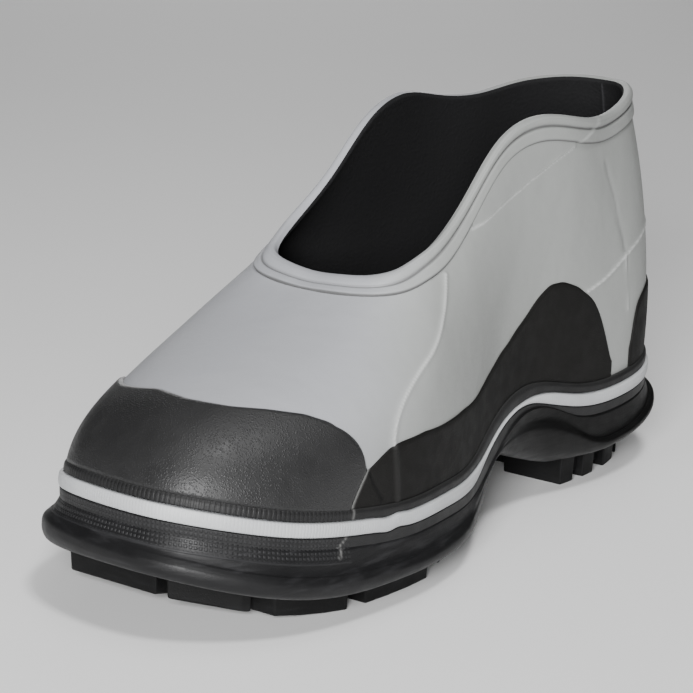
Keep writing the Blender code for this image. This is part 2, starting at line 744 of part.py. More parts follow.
def make_outsole():
    body = make_sole_body()
    lugs = make_blocks("lugs", [lug_corners(lug) for lug in LUGS] + [bar_corners(bar) for bar in BARS], 0)
    web = make_blocks("heel_web", [web_corners()], WEB_LIFT)
    for tread in (lugs, web):
        union = body.modifiers.new(tread.name, "BOOLEAN")
        union.operation = "UNION"
        union.object = tread
    return body


def make_insole():
    turn = columns()
    out = np.full(COLUMNS, -INSOLE_EDGE)
    rings = [edge_point(turn, out, seat_z(turn) + FIT + INSOLE_THICK)]
    rings.append(edge_point(turn, out, seat_z(turn) + FIT))
    return stacked("insole", np.array(rings), DARK)


def clear_scene():
    for thing in list(bpy.data.objects):
        bpy.data.objects.remove(thing)


def main():
    clear_scene()
    make_outsole()
    make_insole()
    make_upper()
    make_strips()
    make_collar_band()
    make_overlays()
    ankle_patch("ankle_patch_medial", ANKLE_PATCH)
    ankle_patch("ankle_patch_lateral", across_turns(ANKLE_PATCH))
    vamp_seam("vamp_seam_medial", VAMP_SEAM)
    vamp_seam("vamp_seam_lateral", across_turns(VAMP_SEAM))


main()
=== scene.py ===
"""Looks for the low slip-on rubber overshoe. Metres, toe towards -Y, inner side towards +X, floor at Z = 0.

A turn goes once round the shoe: 0 at the heel, 1 at the toe along the medial side, and on to 2 at the
heel again along the lateral side. A rib is a curve up the upper's outer face, from the sole to the rim, at
one turn.
"""
import math
from collections import namedtuple

import bmesh
import bpy
import numpy as np
from mathutils import Matrix


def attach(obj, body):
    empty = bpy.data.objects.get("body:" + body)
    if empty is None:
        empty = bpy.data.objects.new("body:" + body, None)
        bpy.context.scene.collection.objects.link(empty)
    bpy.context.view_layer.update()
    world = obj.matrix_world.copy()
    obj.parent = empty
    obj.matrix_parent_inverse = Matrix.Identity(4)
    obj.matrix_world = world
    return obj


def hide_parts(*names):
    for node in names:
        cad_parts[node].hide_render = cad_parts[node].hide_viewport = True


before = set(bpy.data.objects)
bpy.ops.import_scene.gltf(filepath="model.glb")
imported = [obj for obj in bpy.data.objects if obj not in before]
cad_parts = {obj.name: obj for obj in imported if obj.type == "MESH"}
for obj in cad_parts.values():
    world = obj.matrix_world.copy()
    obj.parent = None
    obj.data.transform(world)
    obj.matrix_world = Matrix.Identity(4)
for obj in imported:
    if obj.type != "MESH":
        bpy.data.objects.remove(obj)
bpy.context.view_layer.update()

# Driving sizes
LENGTH = 0.3148  # heel to toe, along the stripe
BALL_WIDTH = 0.118
HEEL_WIDTH = 0.086
STRIPE_LEVEL = 0.030  # middle of the stripe above the floor, at the ball
HEEL_HEIGHT = 0.151  # rim above the floor, at the heel
INSTEP_HEIGHT = 0.105  # rim above the floor, at the front of the throat
THROAT_BACK = 0.1163  # toe end of the stripe to the front of the throat
COLLAR_WIDTH = 0.068  # widest part of the opening, outside its wall
COLLAR_LENGTH = 0.195  # throat to heel, along the opening
WALL = 0.0022
FIT = 0.0003

# Strips round the edge of the sole
SEAT_DROP = 0.0070  # stripe's middle down to the seat of the upper on the sole
STRIPE_TALL = 0.0050
RIBBED_TALL = 0.0038
STRIP_THICK = 0.0026
STRIPE_PROUD = 0.0007
STRIPE_LOW = SEAT_DROP - STRIPE_TALL / 2
STRIPE_HIGH = SEAT_DROP + STRIPE_TALL / 2
RIBBED_HIGH = STRIPE_HIGH + FIT + RIBBED_TALL
NARROW = 0.85  # share of its height that the stripe loses at the waist, on the medial side
NARROW_TURN = 0.423
NARROW_REACH = 0.085

# Overlays on the upper
OVERLAY_THICK = 0.0009
CAP_THICK = 0.0015
PATCH_THICK = 0.0006
BAND_TALL = 0.0105
BEAD_TALL = 0.0042
BEAD_THICK = 0.0014
BAND_THICK = 0.0010
LIP = 0.0005
RIM_EDGE = 0.0015  # upper's edge below the top of the bead

# Sole
FLANGE_WIDE = 0.0059  # bumper's widest ring, outside the stripe
LUG_DEPTH = 0.009
TOE_SPRING = 0.014
SPRING_START = 0.78  # share of the length where the toe starts to rise
ARCH_RISE = 0.024
LUG_DRAFT = 0.0010
LUG_ROOT = 0.009  # lug's root inside the sole
WEB_LIFT = 0.0025  # heel's web above the lugs' soles
ROOT_INSET = 0.014  # underside's edge in from the stripe, where the bumper is tucked up
INSOLE_THICK = 0.004
INSOLE_INSET = 0.0006

# Fineness of the curves
RIB_SAMPLES = 48
NUDGE = 0.004  # step in turn and rise for measuring a surface's slope
EDGE_STEPS = 3


def tabled(row, *values):
    """A table's rows, with named columns."""
    return tuple(row(*value) for value in values)


# Sections from heel to toe. back: share of the length. ball: 0 takes half the heel's width, 1 half the
# ball's. medial, lateral: share of that half width. The two levels: stripe above the floor, by its level at
# the ball
Section = namedtuple("Section", "back ball medial lateral medial_level lateral_level")
SECTIONS = tabled(
    Section,
    (0.000, 0.00, 0.00, 0.00, 1.34, 1.34),
    (0.027, 0.00, 0.63, -0.63, 1.29, 1.30),
    (0.087, 0.00, 0.91, -0.93, 1.22, 1.24),
    (0.160, 0.00, 0.97, -1.02, 1.165, 1.19),
    (0.246, 0.00, 0.93, -1.02, 1.22, 1.19),
    (0.341, 0.25, 0.78, -0.95, 1.42, 1.19),
    (0.437, 0.50, 0.80, -0.92, 1.25, 1.14),
    (0.548, 0.80, 0.93, -0.95, 0.965, 1.03),
    (0.627, 1.00, 0.97, -0.98, 0.975, 0.99),
    (0.697, 1.00, 1.00, -1.00, 0.99, 1.00),
    (0.805, 1.00, 0.96, -0.965, 1.11, 1.11),
    (0.907, 1.00, 0.815, -0.82, 1.30, 1.30),
    (0.976, 1.00, 0.51, -0.485, 1.48, 1.48),
    (1.000, 1.00, 0.10, 0.10, 1.54, 1.54),
)

# A rib at each section. back: rim's place, by the opening's length from the throat. half: share of half the
# opening's width. level: 0 takes the instep's height, 1 the heel's. lean, rise: outward lean and handle at
# the sole, by the rib's height. steep: degrees below level at the rim. reach: handle there, by the span
Rib = namedtuple("Rib", "back half level lean rise steep reach")
RIBS = tabled(
    Rib,
    (1.000, 0.00, 1.00, 0.10, 0.35, 74, 0.40),
    (0.960, 0.42, 1.01, 0.10, 0.35, 75, 0.40),
    (0.868, 0.74, 0.985, 0.08, 0.35, 78, 0.38),
    (0.752, 0.90, 0.93, 0.06, 0.35, 82, 0.36),
    (0.624, 1.00, 0.98, 0.05, 0.35, 84, 0.35),
    (0.487, 0.95, 1.08, 0.05, 0.35, 82, 0.35),
    (0.360, 0.90, 0.96, 0.02, 0.35, 80, 0.35),
    (0.233, 0.91, 0.54, 0.02, 0.40, 72, 0.36),
    (0.142, 0.92, 0.29, 0.03, 0.45, 60, 0.38),
    (0.086, 0.88, 0.18, 0.04, 0.48, 48, 0.42),
    (0.036, 0.78, 0.09, 0.05, 0.51, 41, 0.44),
    (0.013, 0.59, 0.04, 0.06, 0.57, 34, 0.46),
    (0.003, 0.32, 0.01, 0.08, 0.62, 29, 0.47),
    (0.000, 0.00, 0.00, 0.08, 0.65, 27, 0.47),
)

# Side of the sole, from the seat down to the lugs' root. down: share of its height. out: share of the
# bumper's width
Side = namedtuple("Side", "down out")
SOLE_SIDE = tabled(
    Side,
    (0.125, 0.60), (0.24, 0.90), (0.40, 1.00), (0.58, 0.98), (0.76, 0.78), (0.90, 0.20), (1.00, -0.70),
)
SHOULDER_OUT = 0.20  # share of the bumper's width at the shoulder
SIDE_STEP = 0.0004  # sole's side outside the lower strip
LAP_SLOPE = 0.15  # outward slope of the lap

# The sole along the shoe, on the medial and the lateral side. back: share of the length. arch: share of the
# arch's rise. flange: share of the bumper's width. shoulder: share of the side's height above the bumper.
# tuck: how much of the rest lies under the bumper. lap: how much of the lower strip the side laps over
RUN_COLUMNS = (
    "back arch_medial arch_lateral flange_medial flange_lateral shoulder_medial shoulder_lateral tuck lap"
)
Run = namedtuple("Run", RUN_COLUMNS)
SOLE_RUN = tabled(
    Run,
    (0.000, 0.00, 0.00, 0.80, 0.80, 0.08, 0.08, 0.64, 0.0),
    (0.060, 0.00, 0.00, 0.70, 0.74, 0.20, 0.20, 0.62, 0.0),
    (0.140, 0.00, 0.00, 0.70, 0.74, 0.42, 0.38, 0.54, 0.0),
    (0.210, 0.00, 0.00, 0.77, 0.76, 0.46, 0.40, 0.36, 0.0),
    (0.246, 0.05, 0.05, 0.80, 0.75, 0.26, 0.25, 0.16, 0.0),
    (0.278, 0.12, 0.12, 0.75, 0.70, 0.03, 0.10, 0.05, 0.4),
    (0.309, 0.24, 0.20, 0.62, 0.60, 0.00, 0.00, 0.00, 0.9),
    (0.354, 0.44, 0.32, 0.42, 0.50, 0.00, 0.00, 0.00, 0.9),
    (0.395, 0.64, 0.42, 0.22, 0.45, 0.00, 0.00, 0.00, 0.5),
    (0.430, 0.88, 0.45, 0.08, 0.45, 0.00, 0.00, 0.00, 0.0),
    (0.475, 0.66, 0.36, 0.04, 0.55, 0.00, 0.00, 0.00, 0.0),
    (0.500, 0.30, 0.18, 0.08, 0.70, 0.03, 0.03, 0.00, 0.0),
    (0.535, 0.05, 0.02, 0.25, 0.85, 0.12, 0.08, 0.00, 0.0),
    (0.600, 0.00, 0.00, 0.80, 1.00, 0.30, 0.20, 0.00, 0.0),
    (0.680, 0.00, 0.00, 0.95, 1.00, 0.38, 0.30, 0.00, 0.0),
    (0.850, 0.00, 0.00, 1.00, 1.00, 0.40, 0.18, 0.00, 0.0),
    (0.940, 0.00, 0.00, 1.00, 1.05, 0.38, 0.13, 0.00, 0.0),
    (0.985, 0.00, 0.00, 1.00, 1.05, 0.34, 0.18, 0.00, 0.0),
    (1.000, 0.00, 0.00, 1.00, 1.00, 0.27, 0.27, 0.00, 0.0),
)

# Lugs. side: 1 medial, -1 lateral. front, back: share of the length. edge_front, edge_back, inner: share of
# the half width there. nose: how far the inner front corner lies ahead of the outer one, by the length
Lug = namedtuple("Lug", "side front back edge_front edge_back inner nose")
LUGS = tabled(
    Lug,
    (1, 0.892, 0.881, 0.54, 0.58, 0.10, 0.040), (-1, 0.925, 0.882, 0.90, 0.87, 0.02, 0.004),
    (1, 0.871, 0.786, 0.72, 0.87, 0.40, 0.000), (-1, 0.871, 0.786, 0.76, 0.87, 0.40, 0.000),
    (1, 0.757, 0.643, 0.88, 0.92, 0.45, 0.000), (-1, 0.757, 0.643, 0.88, 0.92, 0.45, 0.000),
    (1, 0.592, 0.510, 0.86, 0.74, 0.40, 0.000), (-1, 0.592, 0.510, 0.88, 0.84, 0.40, 0.000),
    (1, 0.248, 0.222, 0.83, 0.83, 0.15, 0.000), (-1, 0.248, 0.222, 0.83, 0.83, 0.15, 0.000),
    (1, 0.200, 0.174, 0.83, 0.82, 0.15, 0.000), (-1, 0.200, 0.174, 0.83, 0.82, 0.15, 0.000),
    (1, 0.144, 0.109, 0.80, 0.76, 0.15, 0.000), (-1, 0.144, 0.109, 0.80, 0.76, 0.15, 0.000),
    (1, 0.084, 0.030, 0.72, 0.50, 0.10, 0.000), (-1, 0.084, 0.030, 0.72, 0.50, 0.10, 0.000),
)
# Bars across the middle of the forefoot. front, back: share of the length. half: share of the half width
Bar = namedtuple("Bar", "front back half")
BARS = tabled(
    Bar,
    (0.862, 0.825, 0.28), (0.790, 0.745, 0.30), (0.710, 0.665, 0.32), (0.630, 0.585, 0.30),
)
# Web that fills the heel's grooves, above the lugs' soles. back: share of the length. half: of its half width
Web = namedtuple("Web", "back half")
HEEL_WEB = tabled(
    Web,
    (0.238, 0.76), (0.190, 0.76), (0.130, 0.72), (0.060, 0.54),
)

# Upper edges of the overlays. turn: place round the shoe. high: share of the rib
Edge = namedtuple("Edge", "turn high")
TOE_CAP = tabled(
    Edge,
    (0.757, 0.232), (0.764, 0.272), (0.780, 0.327), (0.796, 0.363), (0.816, 0.390), (0.848, 0.405),
    (0.892, 0.399), (0.936, 0.382), (1.000, 0.373), (1.044, 0.384), (1.072, 0.370), (1.104, 0.362),
    (1.152, 0.375), (1.184, 0.380), (1.204, 0.363), (1.220, 0.327), (1.236, 0.272), (1.243, 0.232),
)
SIDE_PANEL = tabled(
    Edge,
    (0.209, 0.150), (0.217, 0.220), (0.227, 0.300), (0.239, 0.360), (0.256, 0.405), (0.282, 0.441),
    (0.308, 0.453), (0.332, 0.441), (0.352, 0.404), (0.376, 0.350), (0.410, 0.309), (0.450, 0.301),
    (0.512, 0.314), (0.560, 0.340), (0.620, 0.347), (0.664, 0.353), (0.700, 0.337), (0.728, 0.320),
    (0.742, 0.285), (0.756, 0.234),
)
HEEL_COUNTER_HALF = tabled(
    Edge,
    (0.000, 0.350), (0.090, 0.350), (0.124, 0.345), (0.145, 0.330), (0.157, 0.305), (0.162, 0.270),
    (0.167, 0.215), (0.171, 0.150),
)
# Lower edge of the patch below the collar. drop: distance from the rim, by the collar band's height
Hang = namedtuple("Hang", "turn drop")
ANKLE_PATCH = tabled(
    Hang,
    (0.292, 1.16), (0.328, 1.70), (0.364, 2.18), (0.404, 2.40), (0.440, 2.30), (0.470, 2.05),
    (0.500, 1.65), (0.528, 1.16),
)
# Raised seam down the side of the vamp, from the collar to the side panel. high: share of the rib
VAMP_SEAM = tabled(
    Edge,
    (0.610, 0.875), (0.622, 0.820), (0.640, 0.760), (0.664, 0.690), (0.686, 0.640), (0.706, 0.600),
    (0.720, 0.545), (0.728, 0.480), (0.728, 0.415), (0.723, 0.350),
)


def ring_spline(knots, values):
    """A closed cubic curve through the values at the knots, which go once round in two turns."""
    knots = np.asarray(knots, float)
    values = np.asarray(values, float)
    count = len(knots)
    gaps = np.diff(np.append(knots, knots[0] + 2))
    slopes = (np.roll(values, -1) - values) / gaps
    matrix = np.zeros((count, count))
    for i in range(count):
        matrix[i, i - 1] += gaps[i - 1]
        matrix[i, i] += 2 * (gaps[i - 1] + gaps[i])
        matrix[i, (i + 1) % count] += gaps[i]
    bends = np.linalg.solve(matrix, 6 * (slopes - np.roll(slopes, 1)))

    def at(turn):
        turn = np.mod(turn, 2)
        i = np.clip(np.searchsorted(knots, turn, side="right") - 1, 0, count - 1)
        after = (i + 1) % count
        gap = gaps[i]
        a = (knots[i] + gap - turn) / gap
        b = 1 - a
        bent = ((a**3 - a) * bends[i] + (b**3 - b) * bends[after]) * gap**2 / 6
        return a * values[i] + b * values[after] + bent

    return at


def both_sides(medial, lateral):
    """Values once round the shoe: the medial ones to the toe, then the lateral ones back to the heel."""
    return list(medial) + list(lateral)[-2:0:-1]


def half_width(section):
    return (HEEL_WIDTH * (1 - section.ball) + BALL_WIDTH * section.ball) / 2


def knots_of_sections():
    """The turn of each section, by the mean distance along the two sides of the outline."""
    steps = []
    for a, b in zip(SECTIONS, SECTIONS[1:]):
        run = (b.back - a.back) * LENGTH
        medial = math.hypot(run, b.medial * half_width(b) - a.medial * half_width(a))
        lateral = math.hypot(run, b.lateral * half_width(b) - a.lateral * half_width(a))
        steps.append((medial + lateral) / 2)
    along = np.append(0, np.cumsum(steps))
    medial = along / along[-1]
    return both_sides(medial, 2 - medial)


KNOTS = knots_of_sections()
HEEL_Y = LENGTH / 2
THROAT_Y = THROAT_BACK - LENGTH / 2


def around(medial, lateral):
    return ring_spline(KNOTS, both_sides(medial, lateral))


def same(values):
    return around(values, values)


medial_x = [s.medial * half_width(s) for s in SECTIONS]
lateral_x = [s.lateral * half_width(s) for s in SECTIONS]
medial_z = [s.medial_level * STRIPE_LEVEL for s in SECTIONS]
lateral_z = [s.lateral_level * STRIPE_LEVEL for s in SECTIONS]
outline_x = around(medial_x, lateral_x)
outline_y = same([HEEL_Y - s.back * LENGTH for s in SECTIONS])
stripe_z = around(medial_z, lateral_z)
rim_x = around([r.half * COLLAR_WIDTH / 2 for r in RIBS], [-r.half * COLLAR_WIDTH / 2 for r in RIBS])
rim_y = same([THROAT_Y + r.back * COLLAR_LENGTH for r in RIBS])
rim_z = same([INSTEP_HEIGHT + r.level * (HEEL_HEIGHT - INSTEP_HEIGHT) for r in RIBS])
rib_lean = same([r.lean for r in RIBS])
rib_rise = same([r.rise for r in RIBS])
rib_steep = same([math.radians(r.steep) for r in RIBS])
rib_reach = same([r.reach for r in RIBS])


def unit(vectors):
    return vectors / np.linalg.norm(vectors, axis=-1, keepdims=True)


def bell(distance, wide):
    """1 at a distance of 0, fading out over a width."""
    return np.exp(-((distance / wide) ** 2))


def plan_normal(x_of, y_of, turn):
    """Outward direction in plan of a closed curve."""
    dx = x_of(turn + NUDGE) - x_of(turn - NUDGE)
    dy = y_of(turn + NUDGE) - y_of(turn - NUDGE)
    return unit(np.stack([-dy, dx, np.zeros_like(dx)], -1))


def edge_point(turn, out, z):
    """A point at height z, a distance outside the stripe's outline."""
    turn = np.asarray(turn, float)
    plan = np.stack([outline_x(turn), outline_y(turn), np.zeros_like(turn)], -1)
    plan = plan + plan_normal(outline_x, outline_y, turn) * np.asarray(out)[..., None]
    plan[..., 2] = z
    return plan


UPPER_INSET = STRIP_THICK + FIT
INSOLE_EDGE = UPPER_INSET + WALL + INSOLE_INSET


def seat_z(turn):
    """Height of the sole's top edge, where the upper stands."""
    return stripe_z(turn) - SEAT_DROP


def rib_handles(turn):
    """The four points of each rib's curve, from the sole to the rim."""
    base = edge_point(turn, np.full_like(turn, -UPPER_INSET), seat_z(turn) + FIT)
    rim = np.stack([rim_x(turn), rim_y(turn), rim_z(turn)], -1)
    up = np.array([0.0, 0.0, 1.0])
    height = (rim - base)[..., 2:]
    span = np.linalg.norm(rim - base, axis=-1, keepdims=True)
    lean = rib_lean(turn)[..., None] * plan_normal(outline_x, outline_y, turn)
    low = base + (lean + up) * rib_rise(turn)[..., None] * height
    steep = rib_steep(turn)[..., None]
    drop = np.cos(steep) * plan_normal(rim_x, rim_y, turn) - np.sin(steep) * up
    high = rim + drop * rib_reach(turn)[..., None] * span
    return base, low, high, rim


def cubic(handles, t):
    a, b, c, d = (h[..., None, :] for h in handles)
    t = t[..., None]
    s = 1 - t
    return s**3 * a + 3 * s * s * t * b + 3 * s * t * t * c + t**3 * d


def rib_lengths(turn):
    """Distance along each rib at even steps of its curve."""
    steps = np.linspace(0, 1, RIB_SAMPLES + 1)
    points = cubic(rib_handles(turn), np.broadcast_to(steps, (len(turn), len(steps))))
    pieces = np.linalg.norm(np.diff(points, axis=1), axis=-1)
    return np.concatenate([np.zeros((len(turn), 1)), np.cumsum(pieces, axis=1)], axis=1)


def on_rib(turn, rise):
    """Points at shares of the ribs' lengths. rise has a row for each turn."""
    along = rib_lengths(turn)
    along = along / along[:, -1:]
    row = np.arange(len(turn))
    t = np.empty(rise.shape)
    for column, level in enumerate(np.clip(rise, 0, 1).T):
        i = np.clip((along < level[:, None]).sum(1), 1, RIB_SAMPLES)
        low, high = along[row, i - 1], along[row, i]
        t[:, column] = (i - 1 + (level - low) / (high - low)) / RIB_SAMPLES
    return cubic(rib_handles(turn), t)


def skin(turn, rise, out):
    """Points a distance outside the upper's outer face."""
    turn = np.asarray(turn, float)
    rise = np.broadcast_to(rise, (len(turn), np.shape(rise)[-1]))
    low = np.clip(rise - NUDGE, 0, 1 - 2 * NUDGE)
    upward = on_rib(turn, low + 2 * NUDGE) - on_rib(turn, low)
    onward = on_rib(turn + NUDGE, rise) - on_rib(turn - NUDGE, rise)
    normal = unit(np.cross(upward, onward))
    return on_rib(turn, rise) + normal * np.broadcast_to(out, rise.shape)[..., None]


def rise_from_rim(turn, distance):
    """Share of the rib at a distance from the rim, in a row for each turn."""
    return 1 - distance / rib_lengths(turn)[:, -1:]


def pinched(turn):
    """Share of its height that the stripe loses."""
    return NARROW * np.exp(-(((turn - NARROW_TURN) / NARROW_REACH) ** 4))


def stripe_edges(turn):
    """The stripe's lower and upper edges, from the foot of each rib."""
    lost = STRIPE_TALL * pinched(turn)
    return STRIPE_LOW + lost / 2, STRIPE_HIGH - lost / 2


def both_halves(half):
    """A table's rows for the lateral side, added before the heel."""
    return [row._replace(turn=-row.turn) for row in reversed(half)][:-1] + list(half)


def across_turns(rows):
    """The same table on the lateral side."""
    return [row._replace(turn=2 - row.turn) for row in reversed(rows)]


def spring(y):
    """Rise of the tread towards the toe."""
    back = (HEEL_Y - y) / LENGTH
    share = np.clip((back - SPRING_START) / (1 - SPRING_START), 0, None)
    return TOE_SPRING * share**2


def side_x(y, medial):
    """The outline's X at a Y, on one side."""
    turn = np.linspace(0, 1, 200) if medial else np.linspace(2, 1, 200)
    return np.interp(-np.asarray(y), -outline_y(turn), outline_x(turn))


def block(corners, lift):
    """Points and faces of a lug from its plan corners, wider at its root."""
    corners = np.array(corners)
    count = len(corners)
    centre = corners.mean(0)
    wide = corners + unit(corners - centre) * LUG_DRAFT
    foot = [(x, y, spring(y) + lift) for x, y in corners]
    root = [(x, y, spring(y) + LUG_DEPTH + LUG_ROOT) for x, y in wide]
    faces = [tuple(range(count)), tuple(range(2 * count - 1, count - 1, -1))]
    for i in range(count):
        k = (i + 1) % count
        faces.append((i, k, count + k, count + i))
    return foot + root, faces


def lug_corners(lug):
    y = HEEL_Y - np.linspace(lug.front, lug.back, EDGE_STEPS + 1) * LENGTH
    edge = np.linspace(lug.edge_front, lug.edge_back, EDGE_STEPS + 1)
    x = side_x(y, lug.side > 0)
    outer = list(zip(x * edge, y))
    inner = [(x[-1] * lug.inner, y[-1]), (x[0] * lug.inner, y[0] - lug.nose * LENGTH)]
    return outer + inner


def bar_corners(bar):
    corners = []
    for back, sign in ((bar.front, 1), (bar.front, -1), (bar.back, -1), (bar.back, 1)):
        y = HEEL_Y - back * LENGTH
        corners.append((float(side_x(y, sign > 0)) * bar.half, y))
    return corners


def web_corners():
    y = [HEEL_Y - web.back * LENGTH for web in HEEL_WEB]
    half = np.array([web.half for web in HEEL_WEB])
    medial = list(zip(side_x(y, True) * half, y))
    lateral = list(zip(side_x(y, False) * half, y))
    return medial + lateral[::-1]


# Fineness of the pieces
FINE = 512
STRIP_FINE = 640
UPPER_FINE_ROWS = 150
LINING_ROWS = 50
MM = 1000

# Camera, fitted to the photograph's outline. Angles in degrees, distances in metres, lens in millimetres
VIEW_SIDE = 34.53
VIEW_UP = 15.57
VIEW_ROLL = 1.84
VIEW_PAN = -0.71
VIEW_TILT = -0.10
VIEW_DISTANCE = 1.14907
VIEW_TARGET = np.array([0.0, 0.0, 0.070])
VIEW_LENS = 157.2
VIEW_SENSOR = 36.0

Tint = namedtuple("Tint", "red green blue")
# Painted light: the upper's grey under a bluish light and under a greener, dimmer one, blended by place in
# grey_rubber
UPPER_TINT_BLUE_LIGHT = Tint(0.322, 0.328, 0.348)
UPPER_TINT_GREEN_LIGHT = Tint(0.306, 0.315, 0.306)
STRIPE_TINT = Tint(0.50, 0.51, 0.52)
STRIPE_SHADE = Tint(0.42, 0.43, 0.44)
# Marks on the grey: pale for painted highlights along raised seams and edges; dark for painted shade in
# creases and beside steps, and for the ankle patches' darker tone
PAINTED_HIGHLIGHT_GREY = Tint(0.56, 0.57, 0.56)
CREASE_TINT = Tint(0.10, 0.10, 0.10)
# Pale for the marks on the black rubbers: painted highlights along lips and seams, and pale lines at the
# cement joints
PALE_MARK_TINT = Tint(0.22, 0.22, 0.215)
# Pale worn black: for worn streaks, the lining's seam, and raised relief, where it is also painted light
WORN_AND_LIT_TINT = Tint(0.030, 0.030, 0.032)
# Dark for the marks on the black rubbers: painted shade in the side panels' folds and on the sole towards the
# heel
BLACK_PAINTED_SHADE = Tint(0.003, 0.003, 0.003)
LINING_TINT = Tint(0.0075, 0.0075, 0.0080)
INSOLE_TINT = Tint(0.010, 0.010, 0.010)
FLOOR_TINT = Tint(0.90, 0.90, 0.90)
FLOOR_SHADE = Tint(0.85, 0.85, 0.85)


# Node helpers
class Net:
    """A material's nodes, with its principled shader."""

    def __init__(self, name):
        self.material = bpy.data.materials.new(name)
        self.material.use_nodes = True
        self.tree = self.material.node_tree
        self.shader = self.tree.nodes["Principled BSDF"]
        self.place = self.add("ShaderNodeTexCoord", {}, "Object")

    def put(self, socket, value):
        if isinstance(value, bpy.types.NodeSocket):
            self.tree.links.new(value, socket)
        else:
            socket.default_value = value

    def add(self, kind, inputs, out=0, **settings):
        node = self.tree.nodes.new(kind)
        for key, value in settings.items():
            setattr(node, key, value)
        for key, value in inputs.items():
            self.put(node.inputs[key], value)
        return node.outputs[out]

    def sum(self, operation, a, b=0.0, c=0.0):
        return self.add("ShaderNodeMath", {0: a, 1: b, 2: c}, operation=operation)

    def times(self, a, b):
        return self.sum("MULTIPLY", a, b)

    def noise(self, scale, detail, rough=0.5, place=None):
        place = self.place if place is None else place
        values = {"Vector": place, "Scale": scale, "Detail": detail, "Roughness": rough}
        return self.add("ShaderNodeTexNoise", values, "Fac")

    def cells(self, scale):
        return self.add("ShaderNodeTexVoronoi", {"Vector": self.place, "Scale": scale}, "Distance")

    def ranged(self, value, low, high, to_low=0, to_high=1):
        values = {"Value": value, "From Min": low, "From Max": high, "To Min": to_low, "To Max": to_high}
        return self.add("ShaderNodeMapRange", values, "Result", interpolation_type="SMOOTHSTEP")

    def blend(self, share, a, b):
        node = self.tree.nodes.new("ShaderNodeMix")
        node.data_type = "RGBA"
        self.put(node.inputs["Factor"], share)
        self.put(node.inputs["A"], (*a, 1) if isinstance(a, tuple) else a)
        self.put(node.inputs["B"], (*b, 1) if isinstance(b, tuple) else b)
        return node.outputs["Result"]

    def bump(self, height, depth, under=None):
        values = {"Height": height, "Distance": depth, "Strength": 1.0}
        if under is not None:
            values["Normal"] = under
        return self.add("ShaderNodeBump", values, "Normal")

    def marked(self, tint, pale, dark):
        """The tint with the mesh's own marks: pale where they are above 0, dark where they are below."""
        mark = self.add("ShaderNodeAttribute", {}, "Fac", attribute_name="mark")
        tint = self.blend(self.ranged(mark, 0, 1), tint, pale)
        return self.blend(self.ranged(mark, -1, 0, 1, 0), tint, dark)

    def finish(self, colour, rough, shine, normal=None):
        self.put(self.shader.inputs["Base Color"], colour)
        self.put(self.shader.inputs["Roughness"], rough)
        self.put(self.shader.inputs["Specular IOR Level"], shine)
        if normal is not None:
            self.put(self.shader.inputs["Normal"], normal)
        return self.material


# Painted light: the grey is painted greener and a little darker towards the shoe's medial back, between these
# distances that way, for the tint of the light there
LIGHT_TINT_WAY = (1.0, 0.45, 0)
LIGHT_TINT_FROM = 0.005
LIGHT_TINT_TO = 0.045


def grey_rubber():
    """Moulded grey rubber: faint clouding, a fine skin, a soft sheen, and a painted tint of the light that
    turns it greener and darker towards the medial back.
    """
    net = Net("grey_rubber")
    across = net.add("ShaderNodeVectorMath", {0: net.place, 1: LIGHT_TINT_WAY}, "Value", operation="DOT_PRODUCT")
    side = net.sum("MULTIPLY_ADD", net.noise(22, 3), 0.02, across)
    tint = net.blend(net.ranged(side, LIGHT_TINT_FROM, LIGHT_TINT_TO), UPPER_TINT_BLUE_LIGHT, UPPER_TINT_GREEN_LIGHT)
    tint = net.marked(tint, PAINTED_HIGHLIGHT_GREY, CREASE_TINT)
    rough = net.ranged(net.noise(900, 2), 0.3, 0.7, 0.46, 0.56)
    normal = net.bump(net.noise(1500, 2), 0.00003)
    normal = net.bump(net.noise(60, 2), 0.0006, normal)
    return net.finish(tint, rough, 0.40, normal)


def stripe_rubber():
    """Pale grey rubber with faint cross ribs."""
    net = Net("stripe_rubber")
    cloud = net.noise(40, 4)
    tint = net.blend(net.ranged(cloud, 0.35, 0.7), STRIPE_TINT, STRIPE_SHADE)
    along, _ = spread(net)
    bars = stroke(net, along, STRIPE_PITCH, 0.6)
    tint = net.blend(net.times(bars, 0.25), tint, STRIPE_SHADE)
    tint = net.marked(tint, STRIPE_TINT, CREASE_TINT)
    rough = net.ranged(net.noise(300, 2), 0.3, 0.7, 0.45, 0.58)
    normal = net.bump(net.noise(1200, 2), 0.00004)
    normal = net.bump(bars, 0.00005, normal)
    return net.finish(tint, rough, 0.40, normal)


BLACK_DEPTH = 0.75  # tint of the darker clouds, by the rubber's own
STREAK_SCALE = (45, 45, 420)


